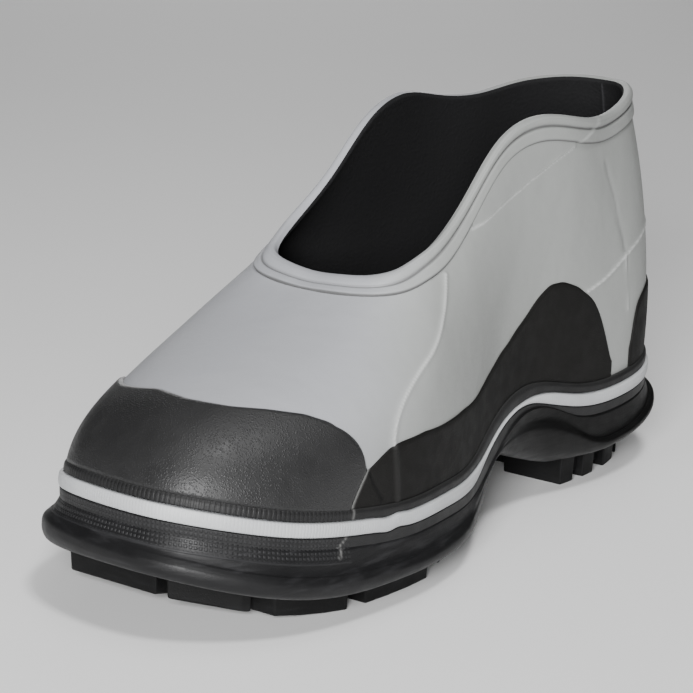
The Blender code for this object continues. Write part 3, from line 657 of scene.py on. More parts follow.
def black_rubber(rubber):
    """Black rubber with a leather-like grain and worn streaks that run along the shoe."""
    net = Net(rubber.name)
    cloud = net.noise(30, 4)
    deep = tuple(BLACK_DEPTH * v for v in rubber.tint)
    tint = net.blend(net.ranged(cloud, 0.3, 0.7), rubber.tint, deep)
    level = net.add("ShaderNodeVectorMath", {0: net.place, 1: STREAK_SCALE}, operation="MULTIPLY")
    streak = net.ranged(net.noise(1, 4, 0.6, level), 0.50, 0.72, 0, rubber.streaks)
    tint = net.blend(streak, tint, WORN_AND_LIT_TINT)
    rough = net.ranged(net.noise(160, 3), 0.3, 0.7, rubber.rough, rubber.rough + 0.10)
    rough = net.sum("MULTIPLY_ADD", streak, 0.2, rough)
    pebble = net.ranged(net.cells(rubber.grain), 0.0, 0.55, 1, 0)
    fine = net.sum("MULTIPLY_ADD", net.noise(rubber.grain * 2.5, 3), 0.5, pebble)
    normal = net.bump(fine, rubber.depth)
    if rubber.streaks:
        normal = net.bump(net.noise(0.6, 3, place=level), 0.0006 * rubber.streaks, normal)
    if rubber.pattern is not None:
        height = rubber.pattern(net)
        normal = net.bump(height, 1 / MM, normal)
        # Raised ribs and squares paler than their grooves: wear on the tops, and painted light and shade of
        # the relief
        tint = net.blend(net.times(height, 2.6), tint, WORN_AND_LIT_TINT)
    tint = net.marked(tint, PALE_MARK_TINT, BLACK_PAINTED_SHADE)
    return net.finish(tint, rough, rubber.shine, normal)


BAR_SHARE = 0.55  # share of the pitch that a bar takes


def spread(net):
    """The surface's own coordinates in millimetres: along the sole and up."""
    node = net.tree.nodes.new("ShaderNodeSeparateXYZ")
    net.put(node.inputs[0], net.add("ShaderNodeTexCoord", {}, "UV"))
    return node.outputs["X"], node.outputs["Y"]


def toe_share(net, along):
    """1 round the toe, between the two cement joints, and 0 elsewhere."""
    half = net.sum("ABSOLUTE", net.sum("SUBTRACT", along, TOE_ALONG))
    return net.ranged(half, TOE_GUARD - 1.0, TOE_GUARD + 1.0, 1, 0)


def stroke(net, value, pitch, share=BAR_SHARE):
    """Repeated raised bars a pitch apart: 1 on a bar and 0 in the groove."""
    groove = pitch / 2 * (1 - share)
    return net.ranged(net.sum("PINGPONG", value, pitch / 2), groove * 0.6, groove * 1.4)


def ribs(net):
    along, _ = spread(net)
    bars = stroke(net, along, RIB_PITCH)
    return net.times(net.times(bars, toe_share(net, along)), RIB_TALL)


def squares(net, along, up):
    both = net.times(stroke(net, along, GRID_PITCH), stroke(net, up, GRID_PITCH))
    return net.times(net.times(both, toe_share(net, along)), GRID_TALL)


def grid(net):
    return squares(net, *spread(net))


def sole_relief(net):
    """The grid runs on over the top of the sole's side, down to a fine ridge."""
    along, up = spread(net)
    above = net.ranged(up, -GRID_LOW - 0.3, -GRID_LOW + 0.3)
    off = net.sum("ABSOLUTE", net.sum("ADD", up, GRID_LOW + 0.6))
    line = net.times(net.ranged(off, 0, 0.7, 1, 0), toe_share(net, along))
    return net.sum("MULTIPLY_ADD", squares(net, along, up), above, net.times(line, GRID_TALL))


# The black rubbers. grain: scale of its cells. depth: the grain's, in metres. streaks: how worn, from 0 to 1.
# pattern: its height in millimetres
Rubber = namedtuple("Rubber", "name tint grain depth rough shine streaks pattern")
# The cap's black is lighter than the side guards': partly its own finish, partly painted light, as the cap
# faces the lamps and the guards turn away
GUARD = Rubber("even_rubber", (0.0083, 0.0080, 0.0075), 1300, 0.00005, 0.60, 0.16, 0.05, None)
CAP = Rubber("grained_rubber", (0.0210, 0.0210, 0.0214), 1300, 0.00009, 0.38, 0.36, 0.0, None)
RIBBED = Rubber("ribbed_rubber", (0.0120, 0.0120, 0.0122), 1400, 0.00004, 0.46, 0.26, 0.10, ribs)
GRID = Rubber("grid_rubber", (0.0165, 0.0165, 0.0171), 1400, 0.00004, 0.46, 0.26, 0.25, grid)
SOLE = Rubber("sole_rubber", (0.0090, 0.0090, 0.0096), 1400, 0.00003, 0.42, 0.24, 0.50, sole_relief)
TREAD = Rubber("tread_rubber", (0.0050, 0.0050, 0.0052), 1200, 0.00005, 0.55, 0.20, 0.15, None)


def cloth(name, tint, pitch):
    """A dull knitted lining."""
    net = Net(name)
    fibre = net.noise(1 / pitch, 4, 0.7)
    colour = net.blend(fibre, tint, tuple(v * 1.8 for v in tint))
    colour = net.marked(colour, WORN_AND_LIT_TINT, tint)
    normal = net.bump(net.cells(1 / pitch), 0.0002)
    return net.finish(colour, 0.92, 0.2, normal)


# Mesh helpers
def linked(name, data):
    """A new object in the scene."""
    made = bpy.data.objects.new(name, data)
    bpy.context.scene.collection.objects.link(made)
    return made


def arc_along():
    """Distance round the stripe's outline at even steps of turn."""
    turn = np.linspace(0, 2, 2001)
    steps = np.hypot(np.diff(outline_x(turn)), np.diff(outline_y(turn)))
    return turn, np.append(0, np.cumsum(steps))


ARC = arc_along()


def along_mm(turn):
    return np.interp(turn, *ARC) * MM


# Patterns of the strips, in millimetres
TOE_ALONG = float(along_mm(1.0))
TOE_GUARD = TOE_ALONG - float(along_mm(0.760))  # half the length of the patterns round the toe
RIB_PITCH = 1.8
RIB_TALL = 0.085
GRID_PITCH = 1.7
GRID_TALL = 0.16
STRIPE_PITCH = 1.3
GRID_LOW = 5.6  # grid's lower edge, below the top of the sole's side


def sheet(name, points, spots, finish, closed=False, turned=False):
    """A smooth mesh from columns of points that run upwards. spots: the surface's own coordinates, with one
    more column than the points where the mesh is closed."""
    count, rows = points.shape[:2]
    spans = count if closed else count - 1
    i = np.arange(spans)[:, None]
    j = np.arange(rows - 1)[None]
    here = i * rows + j
    there = (i + 1) % count * rows + j
    corners = [here, here + 1, there + 1, there]
    places = [(i, j), (i, j + 1), (i + 1, j + 1), (i + 1, j)]
    if turned:
        corners.reverse()
        places.reverse()
    faces = np.stack(np.broadcast_arrays(*corners), -1).reshape(-1, 4)
    uv = np.stack([spots[a, b] for a, b in places], 2)
    mesh = bpy.data.meshes.new(name)
    mesh.from_pydata(points.reshape(-1, 3).tolist(), [], faces.tolist())
    layer = mesh.uv_layers.new(name="UVMap")
    layer.data.foreach_set("uv", uv.reshape(-1).astype(np.float32))
    mesh.shade_smooth()
    mesh.materials.append(finish)
    return linked(name, mesh)


def placed(piece, slot, *nodes):
    """Rides on the shoe's one body and takes the place of the nodes that are named."""
    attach(piece, "root")
    if nodes:
        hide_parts(*nodes)


def ring_turns(count):
    return np.arange(count) * 2 / count


def surface(name, turn, points, up, finish, closed=True, turned=False):
    """A sheet with its own coordinates in millimetres, round the shoe and up."""
    along = along_mm(np.append(turn, 2.0) if closed else turn)
    up = np.broadcast_to(up, points.shape[:2])
    if closed:
        up = np.concatenate([up, up[:1]])
    spots = np.stack([np.broadcast_to(along[:, None], up.shape), up * MM], -1)
    return sheet(name, points, spots, finish, closed, turned)


def rounded(path, radius, steps=4):
    """A path with its corners rounded."""
    path = [np.array(p, float) for p in path]
    out = [path[0]]
    for before, here, after in zip(path, path[1:], path[2:]):
        a = here + unit(before - here) * min(radius, np.linalg.norm(before - here) / 2)
        b = here + unit(after - here) * min(radius, np.linalg.norm(after - here) / 2)
        for s in np.linspace(0, 1, steps + 1):
            out.append((1 - s) ** 2 * a + 2 * s * (1 - s) * here + s * s * b)
    out.append(path[-1])
    return np.array(out)


def filled(path, gap):
    """A path with points added where its steps are longer than the gap."""
    steps = np.linalg.norm(np.diff(path, axis=0), axis=1) / gap
    counts = np.maximum(1, np.ceil(steps)).astype(int)
    parts = [np.linspace(a, b, n, endpoint=False) for a, b, n in zip(path, path[1:], counts)]
    return np.concatenate([*parts, path[-1:]])


LINE_REACH = 0.006  # a line leaves what lies further from it alone
LINE_POINTS = 90
LINE_EASINGS = 6
TURN_SPAN = 0.39  # rough length of a turn, for spacing points and easing edges
RIB_SPAN = 0.11
STRIP_SEAM_POINTS = 12  # last points of a vamp seam, which lie under the strips
STRIP_SEAM_WIDE = 0.0016


def gap_to(points, line):
    """Distance from each point to a line of points, where it is short."""
    flat = points.reshape(-1, 3)
    around = ((flat > line.min(0) - LINE_REACH) & (flat < line.max(0) + LINE_REACH)).all(1)
    near = np.full(len(flat), np.inf)
    close = flat[around]
    best = np.full(len(close), np.inf)
    for spot in line:
        best = np.minimum(best, ((close - spot) ** 2).sum(1))
    near[around] = best
    return np.sqrt(near).reshape(points.shape[:2])


def line_on_skin(knots):
    """Points of a smooth dense line on the upper through (turn, rise) knots."""
    knots = np.array(knots, float)
    steps = np.diff(knots, axis=0) * (TURN_SPAN, RIB_SPAN)
    along = np.append(0, np.cumsum(np.hypot(*steps.T)))
    fine = np.linspace(0, along[-1], LINE_POINTS)
    line = np.stack([np.interp(fine, along, column) for column in knots.T])
    for _ in range(LINE_EASINGS):
        line[:, 1:-1] = (line[:, :-2] + 2 * line[:, 1:-1] + line[:, 2:]) / 4
    turn, rise = line
    return skin(turn, rise[:, None], 0)[:, 0]


LAP_TURN = 0.245  # end of the collar's band
JOINT_TURN = 0.757  # cement joint beside the toe guard
TURN_LENGTH = LENGTH * 1.24  # distance round the shoe for each turn

# Lines on the upper, as (turn, share of the rib)
VAMP_LINE = [(edge.turn, edge.high) for edge in VAMP_SEAM]
VAMP_LINE += [(0.7075, 0.26), (0.6955, 0.18), (0.6875, 0.10), (0.6855, 0.02)]
QUARTER_LINE = [(0.262, 0.425), (0.228, 0.455), (0.188, 0.495), (0.164, 0.515)]
QUARTER_LINE += [(0.136, 0.530), (0.100, 0.545), (0.0, 0.55)]
STAY_HIGH = [(0.214, 0.84), (0.208, 0.785), (0.198, 0.715), (0.192, 0.635), (0.184, 0.565), (0.180, 0.510)]
STAY_LOW = [(0.180, 0.510), (0.178, 0.415), (0.176, 0.315)]
FOLD_LINE = [(0.746, 0.240), (0.736, 0.205), (0.724, 0.170), (0.714, 0.140)]


def patch_edge(hang):
    """The ankle patch's lower edge as a share of the rib."""
    return rise_from_rim(np.array([hang.turn]), hang.drop * BAND_TALL)[0, 0]


def ridge(points, line, tall, wide):
    """A soft ridge along a line."""
    return tall * bell(gap_to(points, line), wide)


def both_lines(knots):
    """A line on the medial side, and its mirror image on the lateral side."""
    return [line_on_skin(knots), line_on_skin([(2 - turn, rise) for turn, rise in knots])]


SEAMS = both_lines(VAMP_LINE)
QUARTERS = both_lines(QUARTER_LINE)
STAYS_HIGH = both_lines(STAY_HIGH)
STAYS_LOW = both_lines(STAY_LOW)
STAYS_SHADE = both_lines([(turn - 0.0035, rise) for turn, rise in STAY_LOW])
# Painted shade: a faint broad dark band beside the back-stay, where the heel turns from the light
STAYS_BACK_SHADE = both_lines([(turn + 0.05 * (rise - 0.51), rise) for turn, rise in STAY_HIGH])
PATCH_HEMS = both_lines([(hang.turn, patch_edge(hang)) for hang in ANKLE_PATCH])
FOLDS = both_lines(FOLD_LINE)
WAVE_TALL = 0.00018


def soft_waves(turn, rise):
    """Slow unevenness of the hand-laid upper."""
    t = turn[:, None] * math.pi
    wave = np.sin(5 * t + 7 * rise) * 0.5 + np.sin(9 * t - 5 * rise + 1.3) * 0.3
    wave = wave + np.sin(14 * t + 11 * rise + 0.4) * 0.2
    return wave * WAVE_TALL * np.sin(np.clip(rise, 0, 1) * math.pi)


# Seams' relief and mark. tall, wide: in metres. mark: above 0, how pale the painted highlight along the
# raised seam is; below 0, how dark the painted shade in its groove and beside its step is
Seam = namedtuple("Seam", "lines tall wide mark")
RELIEF = tabled(
    Seam,
    (SEAMS, 0.00060, 0.0012, 0.80),
    (QUARTERS, 0.00045, 0.0010, 1.00),
    (STAYS_LOW, 0.00030, 0.0007, 0.75),
    (STAYS_SHADE, -0.00020, 0.0006, -0.40),
    (STAYS_HIGH, -0.00030, 0.0014, -0.42),
    (STAYS_BACK_SHADE, -0.00008, 0.0016, -0.16),
    (PATCH_HEMS, 0.00012, 0.0008, 0.90),
)


def seam_ridges(points, column, width=1.0):
    """The seams' ridges, as high as a column of their table says."""
    lines = [(line, getattr(seam, column), seam.wide * width) for seam in RELIEF for line in seam.lines]
    return sum(ridge(points, *line) for line in lines)


def with_marks(piece, marks):
    layer = piece.data.attributes.new("mark", "FLOAT", "POINT")
    layer.data.foreach_set("value", np.clip(marks, -1, 1).reshape(-1).astype(np.float32))


MARK_WIDTH = 0.75  # a seam's mark by the width of its ridge
LINING_SEAM_WIDE = 0.0010
LINING_SEAM_TALL = 0.0004


def make_upper_piece(finish, lining):
    turn = ring_turns(FINE)
    length = rib_lengths(turn)[:, -1:]
    top = rise_from_rim(turn, RIM_EDGE)
    rise = np.linspace(0, 1, UPPER_FINE_ROWS) * top
    plain = skin(turn, rise, 0)
    outer = skin(turn, rise, soft_waves(turn, rise) + seam_ridges(plain, "tall"))
    piece = surface("upper_shell", turn, outer, rise * length, finish)
    with_marks(piece, seam_ridges(plain, "mark", MARK_WIDTH))
    placed(piece, "upper_rubber", "upper", "vamp_seam_medial", "vamp_seam_lateral")
    rise = np.linspace(0, 1, LINING_ROWS) * top
    seam = bell(np.minimum(turn, 2 - turn) * TURN_LENGTH, LINING_SEAM_WIDE)[:, None]
    inner = skin(turn, rise, -WALL - LINING_SEAM_TALL * seam)
    inside = surface("upper_lining", turn, inner, rise * length, lining, turned=True)
    with_marks(inside, np.broadcast_to(seam, rise.shape))
    placed(inside, "lining_rubber")


THROAT_REACH = 0.45  # turns to each side of the toe in which the bead grows
BEAD_GROWTH = 0.0022


def bead_grown(turn, down):
    """Distances from the rim at each turn. The bead takes more of the band round the throat."""
    near = np.clip((THROAT_REACH - np.abs(turn - 1)) / THROAT_REACH * 1.6, 0, 1)[:, None]
    places = (0, BEAD_TALL, BAND_TALL, 1)
    moved = np.interp(down, places, (0, BEAD_TALL + BEAD_GROWTH, BAND_TALL, 1))
    return down + (moved - down) * near * near * (3 - 2 * near)


def hoop(name, path, finish, relief=None, edges=None, marks=None):
    """A strip round the shoe. path: (distance up the rib, distance out). edges: the strip's lower and upper
    edge on each rib, and the path is stretched between them. Without edges it runs down from the rim."""
    turn = ring_turns(STRIP_FINE)
    if edges is None:
        rise = rise_from_rim(turn, bead_grown(turn, path[:, 0]))
    else:
        low, high = (np.broadcast_to(edge, turn.shape)[:, None] for edge in edges)
        share = path[:, 0] / path[:, 0].max()
        rise = (low + (high - low) * share) / rib_lengths(turn)[:, -1:]
    out = np.broadcast_to(path[:, 1], rise.shape)
    if relief is not None:
        out = out + relief(skin(turn, rise, out), turn, path) * (path[:, 1] > FIT * 2)
    travel = np.append(0, np.cumsum(np.hypot(*np.diff(path, axis=0).T)))
    points = skin(turn, rise, out)
    piece = surface(name, turn, points, path[0, 0] + travel, finish, turned=edges is None)
    if marks is not None:
        with_marks(piece, marks(points, turn, path))
    return piece


def seam_feet(points, tall):
    """The vamp's side seams where they run on under the strips."""
    return sum(ridge(points, seam[-STRIP_SEAM_POINTS:], tall, STRIP_SEAM_WIDE) for seam in SEAMS)


def cross_seams(tall, lost=0.0):
    """The vamp's side seams show through the strips as soft ridges. lost: what the strip's thickness loses
    where the stripe is pinched."""
    def relief(points, turn, path):
        return seam_feet(points, tall) - lost * pinched(turn)[:, None]
    return relief


def joint_gap(turn, up, shift=0.0, slant=0.0):
    """Distance past the cement joint beside the toe guard. slant: the joint's turn for each metre up."""
    return (np.minimum(turn, 2 - turn)[:, None] - JOINT_TURN - shift + slant * up) * TURN_LENGTH


JOINT_WIDE = 0.0007
LIP_WEAR_HIGHLIGHT_WIDE = 0.0007
LIP_WEAR_HIGHLIGHT_PALE = 0.14


def joint_marks(pale, seam, shift=0.0, slant=0.0, lip=None):
    """The cement joints as pale lines, and painted highlights: faint ones along the vamp's seams, and one
    along a lip that is also worn. lip: height of that edge.
    """
    def marks(points, turn, path):
        line = pale * bell(joint_gap(turn, path[:, 0], shift, slant), JOINT_WIDE) + seam_feet(points, seam)
        if lip is not None:
            line = np.maximum(line, LIP_WEAR_HIGHLIGHT_PALE * bell(path[:, 0] - lip, LIP_WEAR_HIGHLIGHT_WIDE))
        return line
    return marks


STEP_TURN = 0.698
STEP_REACH = 0.010
STEP_TALL = 0.0005


def stepped(turn):
    """The strips step where they cross the vamp's seams."""
    away = (np.minimum(turn, 2 - turn) - STEP_TURN) / STEP_REACH
    return -STEP_TALL * away * np.exp(0.5 - away**2 / 2)


def make_strip_pieces(stripe, upper_strip, lower_strip):
    turn = ring_turns(STRIP_FINE)
    bottom, top = (edge + stepped(turn) for edge in stripe_edges(turn))
    thick = STRIP_THICK + STRIPE_PROUD
    tall = STRIPE_TALL
    path = [(0, FIT), (0, thick - 0.0001), (tall / 2, thick + 0.0002), (tall, thick - 0.0001), (tall, FIT)]
    marks = joint_marks(0.5, 0.2, 0.003)
    relief = cross_seams(0.0005, STRIPE_PROUD)
    piece = hoop("stripe_band", rounded(path, 0.0008), stripe, relief, (bottom, top), marks)
    placed(piece, "stripe_rubber", "foxing_stripe")
    tall = RIBBED_TALL
    thick = STRIP_THICK - LIP
    path = [(0, FIT), (0, thick), (tall - 0.0012, thick), (tall, 0.0014), (tall, FIT)]
    marks = joint_marks(0.55, 0.25, lip=RIBBED_TALL)
    relief = cross_seams(0.0005)
    piece = hoop("ribbed_band", rounded(path, 0.0006), upper_strip, relief, (top + FIT, RIBBED_HIGH), marks)
    placed(piece, "black_rubber", "foxing_upper")
    tall = STRIPE_LOW - FIT
    thick = STRIP_THICK + FIT
    path = filled(rounded([(0, FIT), (0, thick), (tall, thick), (tall, FIT)], 0.0002), 0.0005)
    relief = cross_seams(0.0004)
    marks = joint_marks(0.60, 0.2, 0.0185, 2.6)
    piece = hoop("grid_band", path, lower_strip, relief, (0, bottom - FIT), marks)
    placed(piece, "black_rubber", "foxing_lower")


BAND_SLANT = 6.5  # slant of the band's end, in turns for each metre down
BEAD_SLANT = 1.9


def past_lap(turn, down):
    """Distance past the end of the collar's band, which lies aslant."""
    slant = np.where(down > BEAD_TALL, BAND_SLANT, BEAD_SLANT)
    return (turn[:, None] - LAP_TURN - slant * (down - BEAD_TALL)) * TURN_LENGTH


def collar_marks(points, turn, path):
    """Painted shade: dark lines in the groove beside the bead, on the bead and under the band's edge; and a
    painted highlight along the band's end.
    """
    down = path[:, 0]
    crease_shade = -0.75 * bell(down - BEAD_TALL - 0.0004, 0.0007) - 0.22 * bell(down - RIM_EDGE - 0.0003, 0.0003)
    crease_shade = crease_shade - bell(down - BAND_TALL, 0.0008)
    return crease_shade + bell(past_lap(turn, down), 0.0015) * np.where(down > BEAD_TALL, 0.45, 0.3)


LAP_TALL = 0.0004
LAP_SOFT = 0.0016  # distance over which the lap's edge rises
LAP_FADE = 0.02  # distance over which the lap fades into the band
UNEVEN_TALL = 0.00012


def collar_relief(points, turn, path):
    """The band's end lies over its start, and the rim is a little uneven."""
    past = past_lap(turn, path[:, 0])
    lap = LAP_TALL * (1 - np.clip(past / LAP_SOFT + 0.5, 0, 1)) * np.clip(1 + past / LAP_FADE, 0, 1)
    return lap + UNEVEN_TALL * (np.sin(23 * turn) + np.sin(41 * turn + 1))[:, None]


def make_collar_piece(finish, lining):
    """Rolled rim: a bead, a groove and a flat band with a feathered edge. The lining covers its inside."""
    under = (0.0002, -WALL * 0.6)
    inner = [(RIM_EDGE + 0.003, -WALL), (RIM_EDGE, -WALL - 0.0001), (0.0006, -WALL + 0.0003), under]
    outer = [
        under,
        (0.0001, FIT + BEAD_THICK - LIP),
        (RIM_EDGE, FIT + BEAD_THICK + LIP),
        (BEAD_TALL - LIP, FIT + BEAD_THICK),
        (BEAD_TALL, FIT + 0.0004),
        (BEAD_TALL + 0.0007, FIT + 0.0004),
        (BEAD_TALL + 0.0012, FIT + BAND_THICK),
        (BAND_TALL - 0.0008, FIT + BAND_THICK),
        (BAND_TALL, FIT + 0.0002),
        (BAND_TALL, 0.0),
    ]
    outer = filled(rounded(outer, 0.0010, 5), 0.0004)
    piece = hoop("rolled_collar", outer, finish, collar_relief, marks=collar_marks)
    placed(piece, "upper_rubber", "collar_band")
    placed(hoop("collar_lining", rounded(inner, 0.0008), lining), "lining_rubber")


CORNER_REACH = 0.006  # turns over which an edge's corner is eased


def smooth_edge(table, turn):
    """A table's second column at any turn, with its corners eased."""
    knots, values = zip(*table)
    inside = np.clip(turn[:, None] + np.linspace(-CORNER_REACH, CORNER_REACH, 7), knots[0], knots[-1])
    return np.interp(inside, knots, values).mean(1)


def slanted(turn, rise, ends):
    """Turns for each point of an overlay whose ends lean. ends: (turn, lean over the whole rib, share of the
    rib where the lean starts, turns that it moves)."""
    every = np.broadcast_to(turn[:, None], rise.shape).copy()
    for end, lean, level, reach in ends:
        near = np.clip(1 - np.abs(turn - end) / reach, 0, 1)[:, None]
        every += lean * near * np.clip(rise - level, 0, None)
    return every


def skin_at(turn, rise, out):
    """Points outside the upper, with a turn for each point."""
    out = np.broadcast_to(out, rise.shape)
    points = np.empty((*rise.shape, 3))
    straight = (turn == turn[:, :1]).all(1)
    points[straight] = skin(turn[straight, 0], rise[straight], out[straight])
    flat = [a[~straight].reshape(-1, 1) for a in (turn, rise, out)]
    points[~straight] = skin(flat[0][:, 0], flat[1], flat[2]).reshape(-1, rise.shape[1], 3)
    return points


EDGE_THICK = 0.00045
EDGE_WIDE = 0.0022  # width over which an overlay thins out
FOOT_LAP = 0.0004  # overlays' feet below the top of the ribbed strip
CEMENT_PALE = 0.5
CEMENT_WIDE = 0.0009


def patch(name, table, rows, count, thick, finish, relief=None, ends=(), joint=None):
    """An overlay from the ribbed strip up to the table's edge, thin at its edges. joint: 0 where its first
    end is a cement joint, -1 where its last one is."""
    turn = np.linspace(table[0].turn, table[-1].turn, count)
    length = rib_lengths(turn)[:, -1:]
    foot = (RIBBED_HIGH - FOOT_LAP) / length
    head = smooth_edge(table, turn)[:, None]
    share = np.linspace(0, 1, rows) ** 0.8
    rise = foot + (head - foot) * share
    height = (head - foot) * length
    sides = np.minimum(turn - turn[0], turn[-1] - turn)[:, None] * TURN_SPAN
    near = np.minimum(height * np.minimum(1 - share, share * 8 + 1), sides)
    ease = np.clip(near / EDGE_WIDE, 0, 1)
    out = EDGE_THICK + (thick - EDGE_THICK) * (1 - (1 - ease) ** 2)
    every = slanted(turn, rise, ends)
    plain = skin_at(every, rise, 0.0)
    if relief is not None:
        out = out + relief(plain) * ease
    points = np.pad(plain, ((1, 1), (1, 1), (0, 0)), mode="edge")
    points[1:-1, 1:-1] = skin_at(every, rise, out)
    turn = np.pad(turn, 1, mode="edge")
    up = np.pad(rise * length, 1, mode="edge")
    piece = surface(name, turn, points, up, finish, closed=False)
    if joint is not None:
        # Marks: a pale line at the cement joint, painted highlights along the vamp's seams and painted shade
        # in the folds beside the toe guard
        cement = CEMENT_PALE * bell((turn - turn[joint]) * TURN_LENGTH, CEMENT_WIDE)[:, None]
        marks = sum(ridge(points, seam, 0.30, STRIP_SEAM_WIDE) for seam in SEAMS)
        marks = marks - sum(ridge(points, fold, 0.9, 0.0010) for fold in FOLDS)
        with_marks(piece, np.where(cement > 0.1, cement, marks))
    return piece


def panel_relief(points):
    """The vamp's seams and the folds beside the toe guard show through the side panels."""
    seams = sum(ridge(points, seam, 0.0006, 0.0015) for seam in SEAMS)
    return seams - sum(ridge(points, fold, 0.0005, 0.0011) for fold in FOLDS)


def make_overlay_pieces(grained, even):
    leans = ((TOE_CAP[0].turn, -0.080, 0.13, 0.05), (TOE_CAP[-1].turn, 0.080, 0.13, 0.05))
    cap = patch("toe_guard", TOE_CAP, 60, 420, CAP_THICK, grained, ends=leans)
    placed(cap, "black_rubber", "toe_cap")
    leans = ((SIDE_PANEL[-1].turn, -0.080, 0.13, 0.05), (SIDE_PANEL[0].turn, 0.03, 0.15, 0.04))
    others = tuple((2 - turn, -lean, level, reach) for turn, lean, level, reach in leans)
    sides = (("medial", SIDE_PANEL, leans, -1), ("lateral", across_turns(SIDE_PANEL), others, 0))
    for side, table, ends, joint in sides:
        piece = patch("side_guard_" + side, table, 44, 400, OVERLAY_THICK, even, panel_relief, ends, joint)
        placed(piece, "black_rubber", "side_panel_" + side)
    piece = patch("heel_guard", both_halves(HEEL_COUNTER_HALF), 40, 260, OVERLAY_THICK, even)
    placed(piece, "black_rubber", "heel_counter")


ANKLE_LAP = 0.0004  # ankle patch's top above the lower edge of the collar's band
HEM_THICK = 0.00004
HEM_EASE = 0.0008  # width over which the ankle patch thins out
HEM_HIGHLIGHT_WIDE = 0.0009
HEM_DARK = 0.14


def make_ankle_pieces(finish):
    for side, table in (("medial", ANKLE_PATCH), ("lateral", across_turns(ANKLE_PATCH))):
        turn = np.linspace(table[0].turn, table[-1].turn, 160)
        length = rib_lengths(turn)[:, -1:]
        low = rise_from_rim(turn, smooth_edge(table, turn)[:, None] * BAND_TALL)
        high = rise_from_rim(turn, BAND_TALL - ANKLE_LAP)
        share = np.linspace(0, 1, 40)
        rise = low + (high - low) * share
        near = (high - low) * length * share
        out = HEM_THICK + PATCH_THICK * np.clip(near / HEM_EASE, 0, 1) ** 0.5
        points = skin(turn, rise, out)
        piece = surface("ankle_guard_" + side, turn, points, rise * length, finish, closed=False)
        # Marks: a painted highlight along the lower hem, and the whole patch a little darker by HEM_DARK
        with_marks(piece, bell(near, HEM_HIGHLIGHT_WIDE) - HEM_DARK)
        placed(piece, "upper_rubber", "ankle_patch_" + side)


# Sole
SIDE_COVER = 0.0006  # sole's side over the foot of the strips
RUN_EASE = 0.022  # share of the length over which the sole table's corners are eased
MIDDLE_WIDE = 0.02  # width over which the sole's two sides meet in the middle
SIDE_ROWS = 60
UNDERSIDE_ROWS = 24
INSOLE_ROWS = 40


def eased(turn, medial, lateral):
    """A pair of the sole table's columns at these turns, with the corners eased."""
    back = (HEEL_Y - outline_y(turn)) / LENGTH
    near = back[:, None] + np.linspace(-RUN_EASE, RUN_EASE, 11)
    places = [run.back for run in SOLE_RUN]
    columns = ([getattr(run, name) for run in SOLE_RUN] for name in (medial, lateral))
    inner, outer = (np.interp(near, places, column).mean(1) for column in columns)
    return outer + (inner - outer) * np.clip(0.5 + outline_x(turn) / MIDDLE_WIDE, 0, 1)


def sole_side(turn):
    """Distance out and height of the sole's side at each turn, from the seat down to the root."""
    top = seat_z(turn)
    bottom = spring(outline_y(turn)) + LUG_DEPTH + ARCH_RISE * eased(turn, "arch_medial", "arch_lateral")
    flange = eased(turn, "flange_medial", "flange_lateral") * FLANGE_WIDE
    shoulder = eased(turn, "shoulder_medial", "shoulder_lateral")
    tuck = eased(turn, "tuck", "tuck")
    lap = eased(turn, "lap", "lap") * (STRIPE_LOW - FIT)
    beside = np.clip(lap / 0.001, 0, 1) * SIDE_STEP + 0.0001
    edge = top + SIDE_COVER + lap
    rows = [(np.full_like(turn, -0.001), edge), (beside + lap * LAP_SLOPE, edge)]
    rows.append((FIT + SIDE_STEP + flange * SHOULDER_OUT, top - shoulder * (top - bottom)))
    for side in SOLE_SIDE:
        down = shoulder + (1 - shoulder) * side.down * (1 - tuck)
        rows.append((side.out * flange + SIDE_STEP * (1 - side.down), top - down * (top - bottom)))
    out, z = (np.array(column) for column in zip(*rows))
    return out, z, bottom


def spline_rows(values, fine):
    """A smooth curve through each column's rows."""
    slope = np.gradient(values, axis=0)
    at = np.linspace(0, len(values) - 1, fine)
    i = np.clip(at.astype(int), 0, len(values) - 2)
    s = (at - i)[:, None]
    start = values[i] * (1 + 2 * s) + slope[i] * s
    end = values[i + 1] * (3 - 2 * s) - slope[i + 1] * (1 - s)
    return start * (1 - s) ** 2 + end * s**2


PAINTED_SHADE_FRONT = 0.50  # share of the length where the painted shade on the sole's side starts
PAINTED_SHADE_REACH = 0.18
ROOT_TRAVEL = 0.0115  # from the underside's edge up to the lip with the painted highlight
SOLE_LIP_HIGHLIGHT_WIDE = 0.0012
SOLE_JOINT_SHIFT = 0.0125
SOLE_JOINT_SLANT = 0.93
SOLE_JOINT_WIDE = 0.0008


def sole_marks(turn, up):
    """Painted shade that darkens the side towards the heel, a painted highlight along its lower lip, and pale
    lines at the cement joints at the toe.
    """
    back = (HEEL_Y - outline_y(turn)) / LENGTH
    share = np.clip((PAINTED_SHADE_FRONT - back) / PAINTED_SHADE_REACH, 0, 1)[:, None]
    lip = bell(up - up.min(1)[:, None] - ROOT_TRAVEL, SOLE_LIP_HIGHLIGHT_WIDE)
    joint = 0.55 * bell(joint_gap(turn, up, SOLE_JOINT_SHIFT, SOLE_JOINT_SLANT), SOLE_JOINT_WIDE)
    joint = joint * (up > -GRID_LOW / MM)
    return share * (0.16 * lip - 0.9 * (1 - lip)) + joint


def bed_across(rim, count):
    """Points inside a closed rim, in columns from its medial to its lateral edge."""
    half = len(rim) // 2
    medial = rim[: half + 1]
    lateral = rim[np.r_[0, np.arange(len(rim) - 1, half - 1, -1)]]
    return medial[:, None] + (lateral - medial)[:, None] * np.linspace(0, 1, count)[None, :, None]


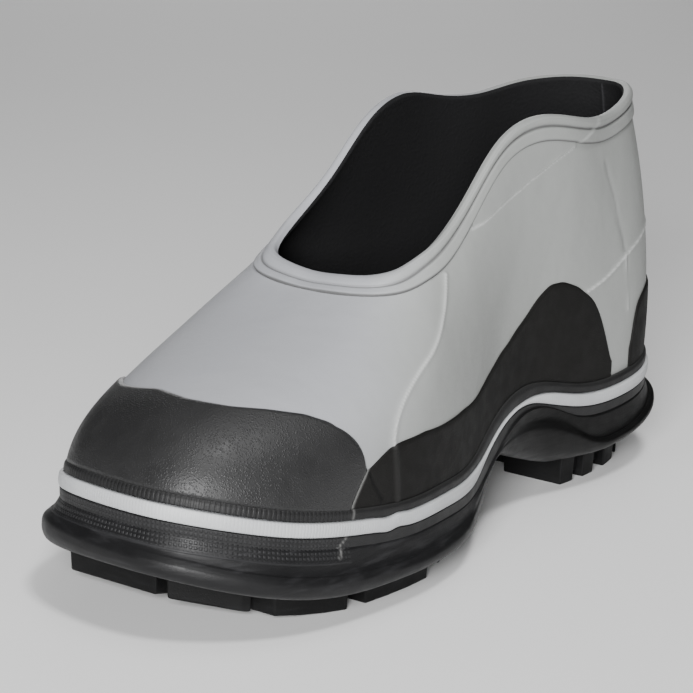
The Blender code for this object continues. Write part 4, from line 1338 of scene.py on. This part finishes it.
def make_sole_piece(finish, tread):
    turn = ring_turns(STRIP_FINE)
    out, z, bottom = sole_side(turn)
    out, z = (np.concatenate([rows[:1], spline_rows(rows[1:], SIDE_ROWS)]) for rows in (out, z))
    steps = np.hypot(np.diff(out, axis=0), np.diff(z, axis=0))
    travel = np.concatenate([np.zeros((1, len(turn))), np.cumsum(steps, 0)])
    travel = np.concatenate([travel, travel[-1:] + 0.01])
    points = np.stack([edge_point(turn, o, h) for o, h in zip(out, z)], 1)
    root = edge_point(turn, np.full_like(turn, -ROOT_INSET), bottom)
    points = np.concatenate([points, root[:, None]], 1)[:, ::-1]
    up = -travel.T[:, ::-1]
    piece = surface("sole_body", turn, points, up, finish)
    with_marks(piece, sole_marks(turn, up))
    placed(piece, "sole_rubber", "outsole")
    bed = bed_across(root, UNDERSIDE_ROWS)
    placed(sheet("sole_underside", bed, bed[..., :2] * MM, tread, turned=True), "sole_rubber")


def lug_mesh():
    points, faces = [], []
    plans = [(lug_corners(lug), 0) for lug in LUGS] + [(bar_corners(bar), 0) for bar in BARS]
    plans.append((web_corners(), WEB_LIFT))
    for plan, lift in plans:
        more, sides = block(plan, lift)
        faces += [tuple(i + len(points) for i in side) for side in sides]
        points += more
    return points, faces


LUG_SOFT = 0.0007  # width of the lugs' soft edges


def make_lug_piece(finish):
    points, faces = lug_mesh()
    mesh = bpy.data.meshes.new("sole_lugs")
    mesh.from_pydata([tuple(float(v) for v in p) for p in points], [], faces)
    mesh.materials.append(finish)
    shape = bmesh.new()
    shape.from_mesh(mesh)
    bmesh.ops.recalc_face_normals(shape, faces=shape.faces)
    shape.to_mesh(mesh)
    shape.free()
    made = linked("sole_lugs", mesh)
    bevel = made.modifiers.new("soft_edges", "BEVEL")
    bevel.width = LUG_SOFT
    bevel.segments = 3
    bevel.limit_method = "ANGLE"
    bevel.angle_limit = math.radians(40)
    mesh.shade_smooth()
    mesh.set_sharp_from_angle(angle=math.radians(35))
    placed(made, "sole_rubber")


FOOTBED_GAP = 0.0004  # footbed's edge outside the solid insole's
FOOTBED_DISH = 0.0008


def make_insole_piece(finish):
    turn = ring_turns(FINE)
    top = seat_z(turn) + FIT + INSOLE_THICK
    rim = edge_point(turn, np.full_like(turn, FOOTBED_GAP - INSOLE_EDGE), top)
    bed = bed_across(rim, INSOLE_ROWS)
    bed[..., 2] -= FOOTBED_DISH * np.sin(np.linspace(0, 1, INSOLE_ROWS) * math.pi)
    piece = sheet("footbed", bed, bed[..., :2] * MM, finish)
    placed(piece, "lining_rubber", "insole")


# Stage
WORLD_STRENGTH = 0.03
FLOOR_SIZE = 24


def stage():
    bpy.ops.mesh.primitive_plane_add(size=FLOOR_SIZE)
    floor = bpy.context.object
    floor.name = "floor"
    net = Net("floor_finish")
    tint = net.blend(net.noise(3, 2), FLOOR_TINT, FLOOR_SHADE)
    floor.data.materials.append(net.finish(tint, 0.8, 0.1))
    world = bpy.data.worlds.new("studio")
    bpy.context.scene.world = world
    world.use_nodes = True
    sky = world.node_tree.nodes["Background"]
    sky.inputs["Color"].default_value = (1, 1, 1, 1)
    sky.inputs["Strength"].default_value = WORLD_STRENGTH


LAMP_SPREAD = math.radians(125)

# Lamps, aimed at the shoe. Sizes in metres, power in watts
Lamp = namedtuple("Lamp", "name x y z wide tall power")
LAMPS = tabled(
    Lamp,
    ("key", 0.80, -1.50, 0.60, 0.6, 0.6, 26),
    ("top", 0.66, -0.42, 1.85, 0.35, 0.35, 8.5),
    ("over", 0.0, 0.1, 2.3, 1.2, 1.2, 3),
    ("back", -1.3, 1.6, 0.5, 0.9, 0.9, 4),
)


def stood(name, data, place, axes):
    """A lamp or camera at a place, with its right, upper and rear axes."""
    made = linked(name, data)
    made.location = place
    made.rotation_euler = Matrix(np.stack(axes, 1).tolist()).to_euler()
    return made


def lights():
    for lamp in LAMPS:
        data = bpy.data.lights.new(lamp.name, "AREA")
        data.shape = "RECTANGLE"
        data.size = lamp.wide
        data.size_y = lamp.tall
        data.energy = lamp.power
        data.spread = LAMP_SPREAD
        place = np.array([lamp.x, lamp.y, lamp.z])
        aim = unit(place - VIEW_TARGET)
        side = unit(np.cross([0, 0, 1], aim))
        stood(lamp.name, data, place, (side, np.cross(aim, side), aim))


def swung(first, second, degrees):
    """Two axes turned by an angle, the first towards the second."""
    angle = math.radians(degrees)
    cos, sin = math.cos(angle), math.sin(angle)
    return cos * first + sin * second, cos * second - sin * first


def camera():
    a, e = math.radians(VIEW_SIDE), math.radians(VIEW_UP)
    right = np.array([math.cos(a), math.sin(a), 0])
    back = np.array([math.sin(a) * math.cos(e), -math.cos(a) * math.cos(e), math.sin(e)])
    up = np.cross(back, right)
    place = VIEW_TARGET + VIEW_DISTANCE * back
    right, back = swung(right, back, VIEW_PAN)
    up, back = swung(up, back, VIEW_TILT)
    right, up = swung(right, up, VIEW_ROLL)
    data = bpy.data.cameras.new("view")
    data.lens = VIEW_LENS
    data.sensor_width = VIEW_SENSOR
    bpy.context.scene.camera = stood("view", data, place, (right, up, back))


def main():
    camera()
    stage()
    lights()
    grey = grey_rubber()
    lining = cloth("dark_lining", LINING_TINT, 0.0012)
    make_upper_piece(grey, lining)
    make_collar_piece(grey, lining)
    make_strip_pieces(stripe_rubber(), black_rubber(RIBBED), black_rubber(GRID))
    make_overlay_pieces(black_rubber(CAP), black_rubber(GUARD))
    make_ankle_pieces(grey)
    tread = black_rubber(TREAD)
    make_sole_piece(black_rubber(SOLE), tread)
    make_lug_piece(tread)
    make_insole_piece(cloth("insole_cloth", INSOLE_TINT, 0.0009))


main()
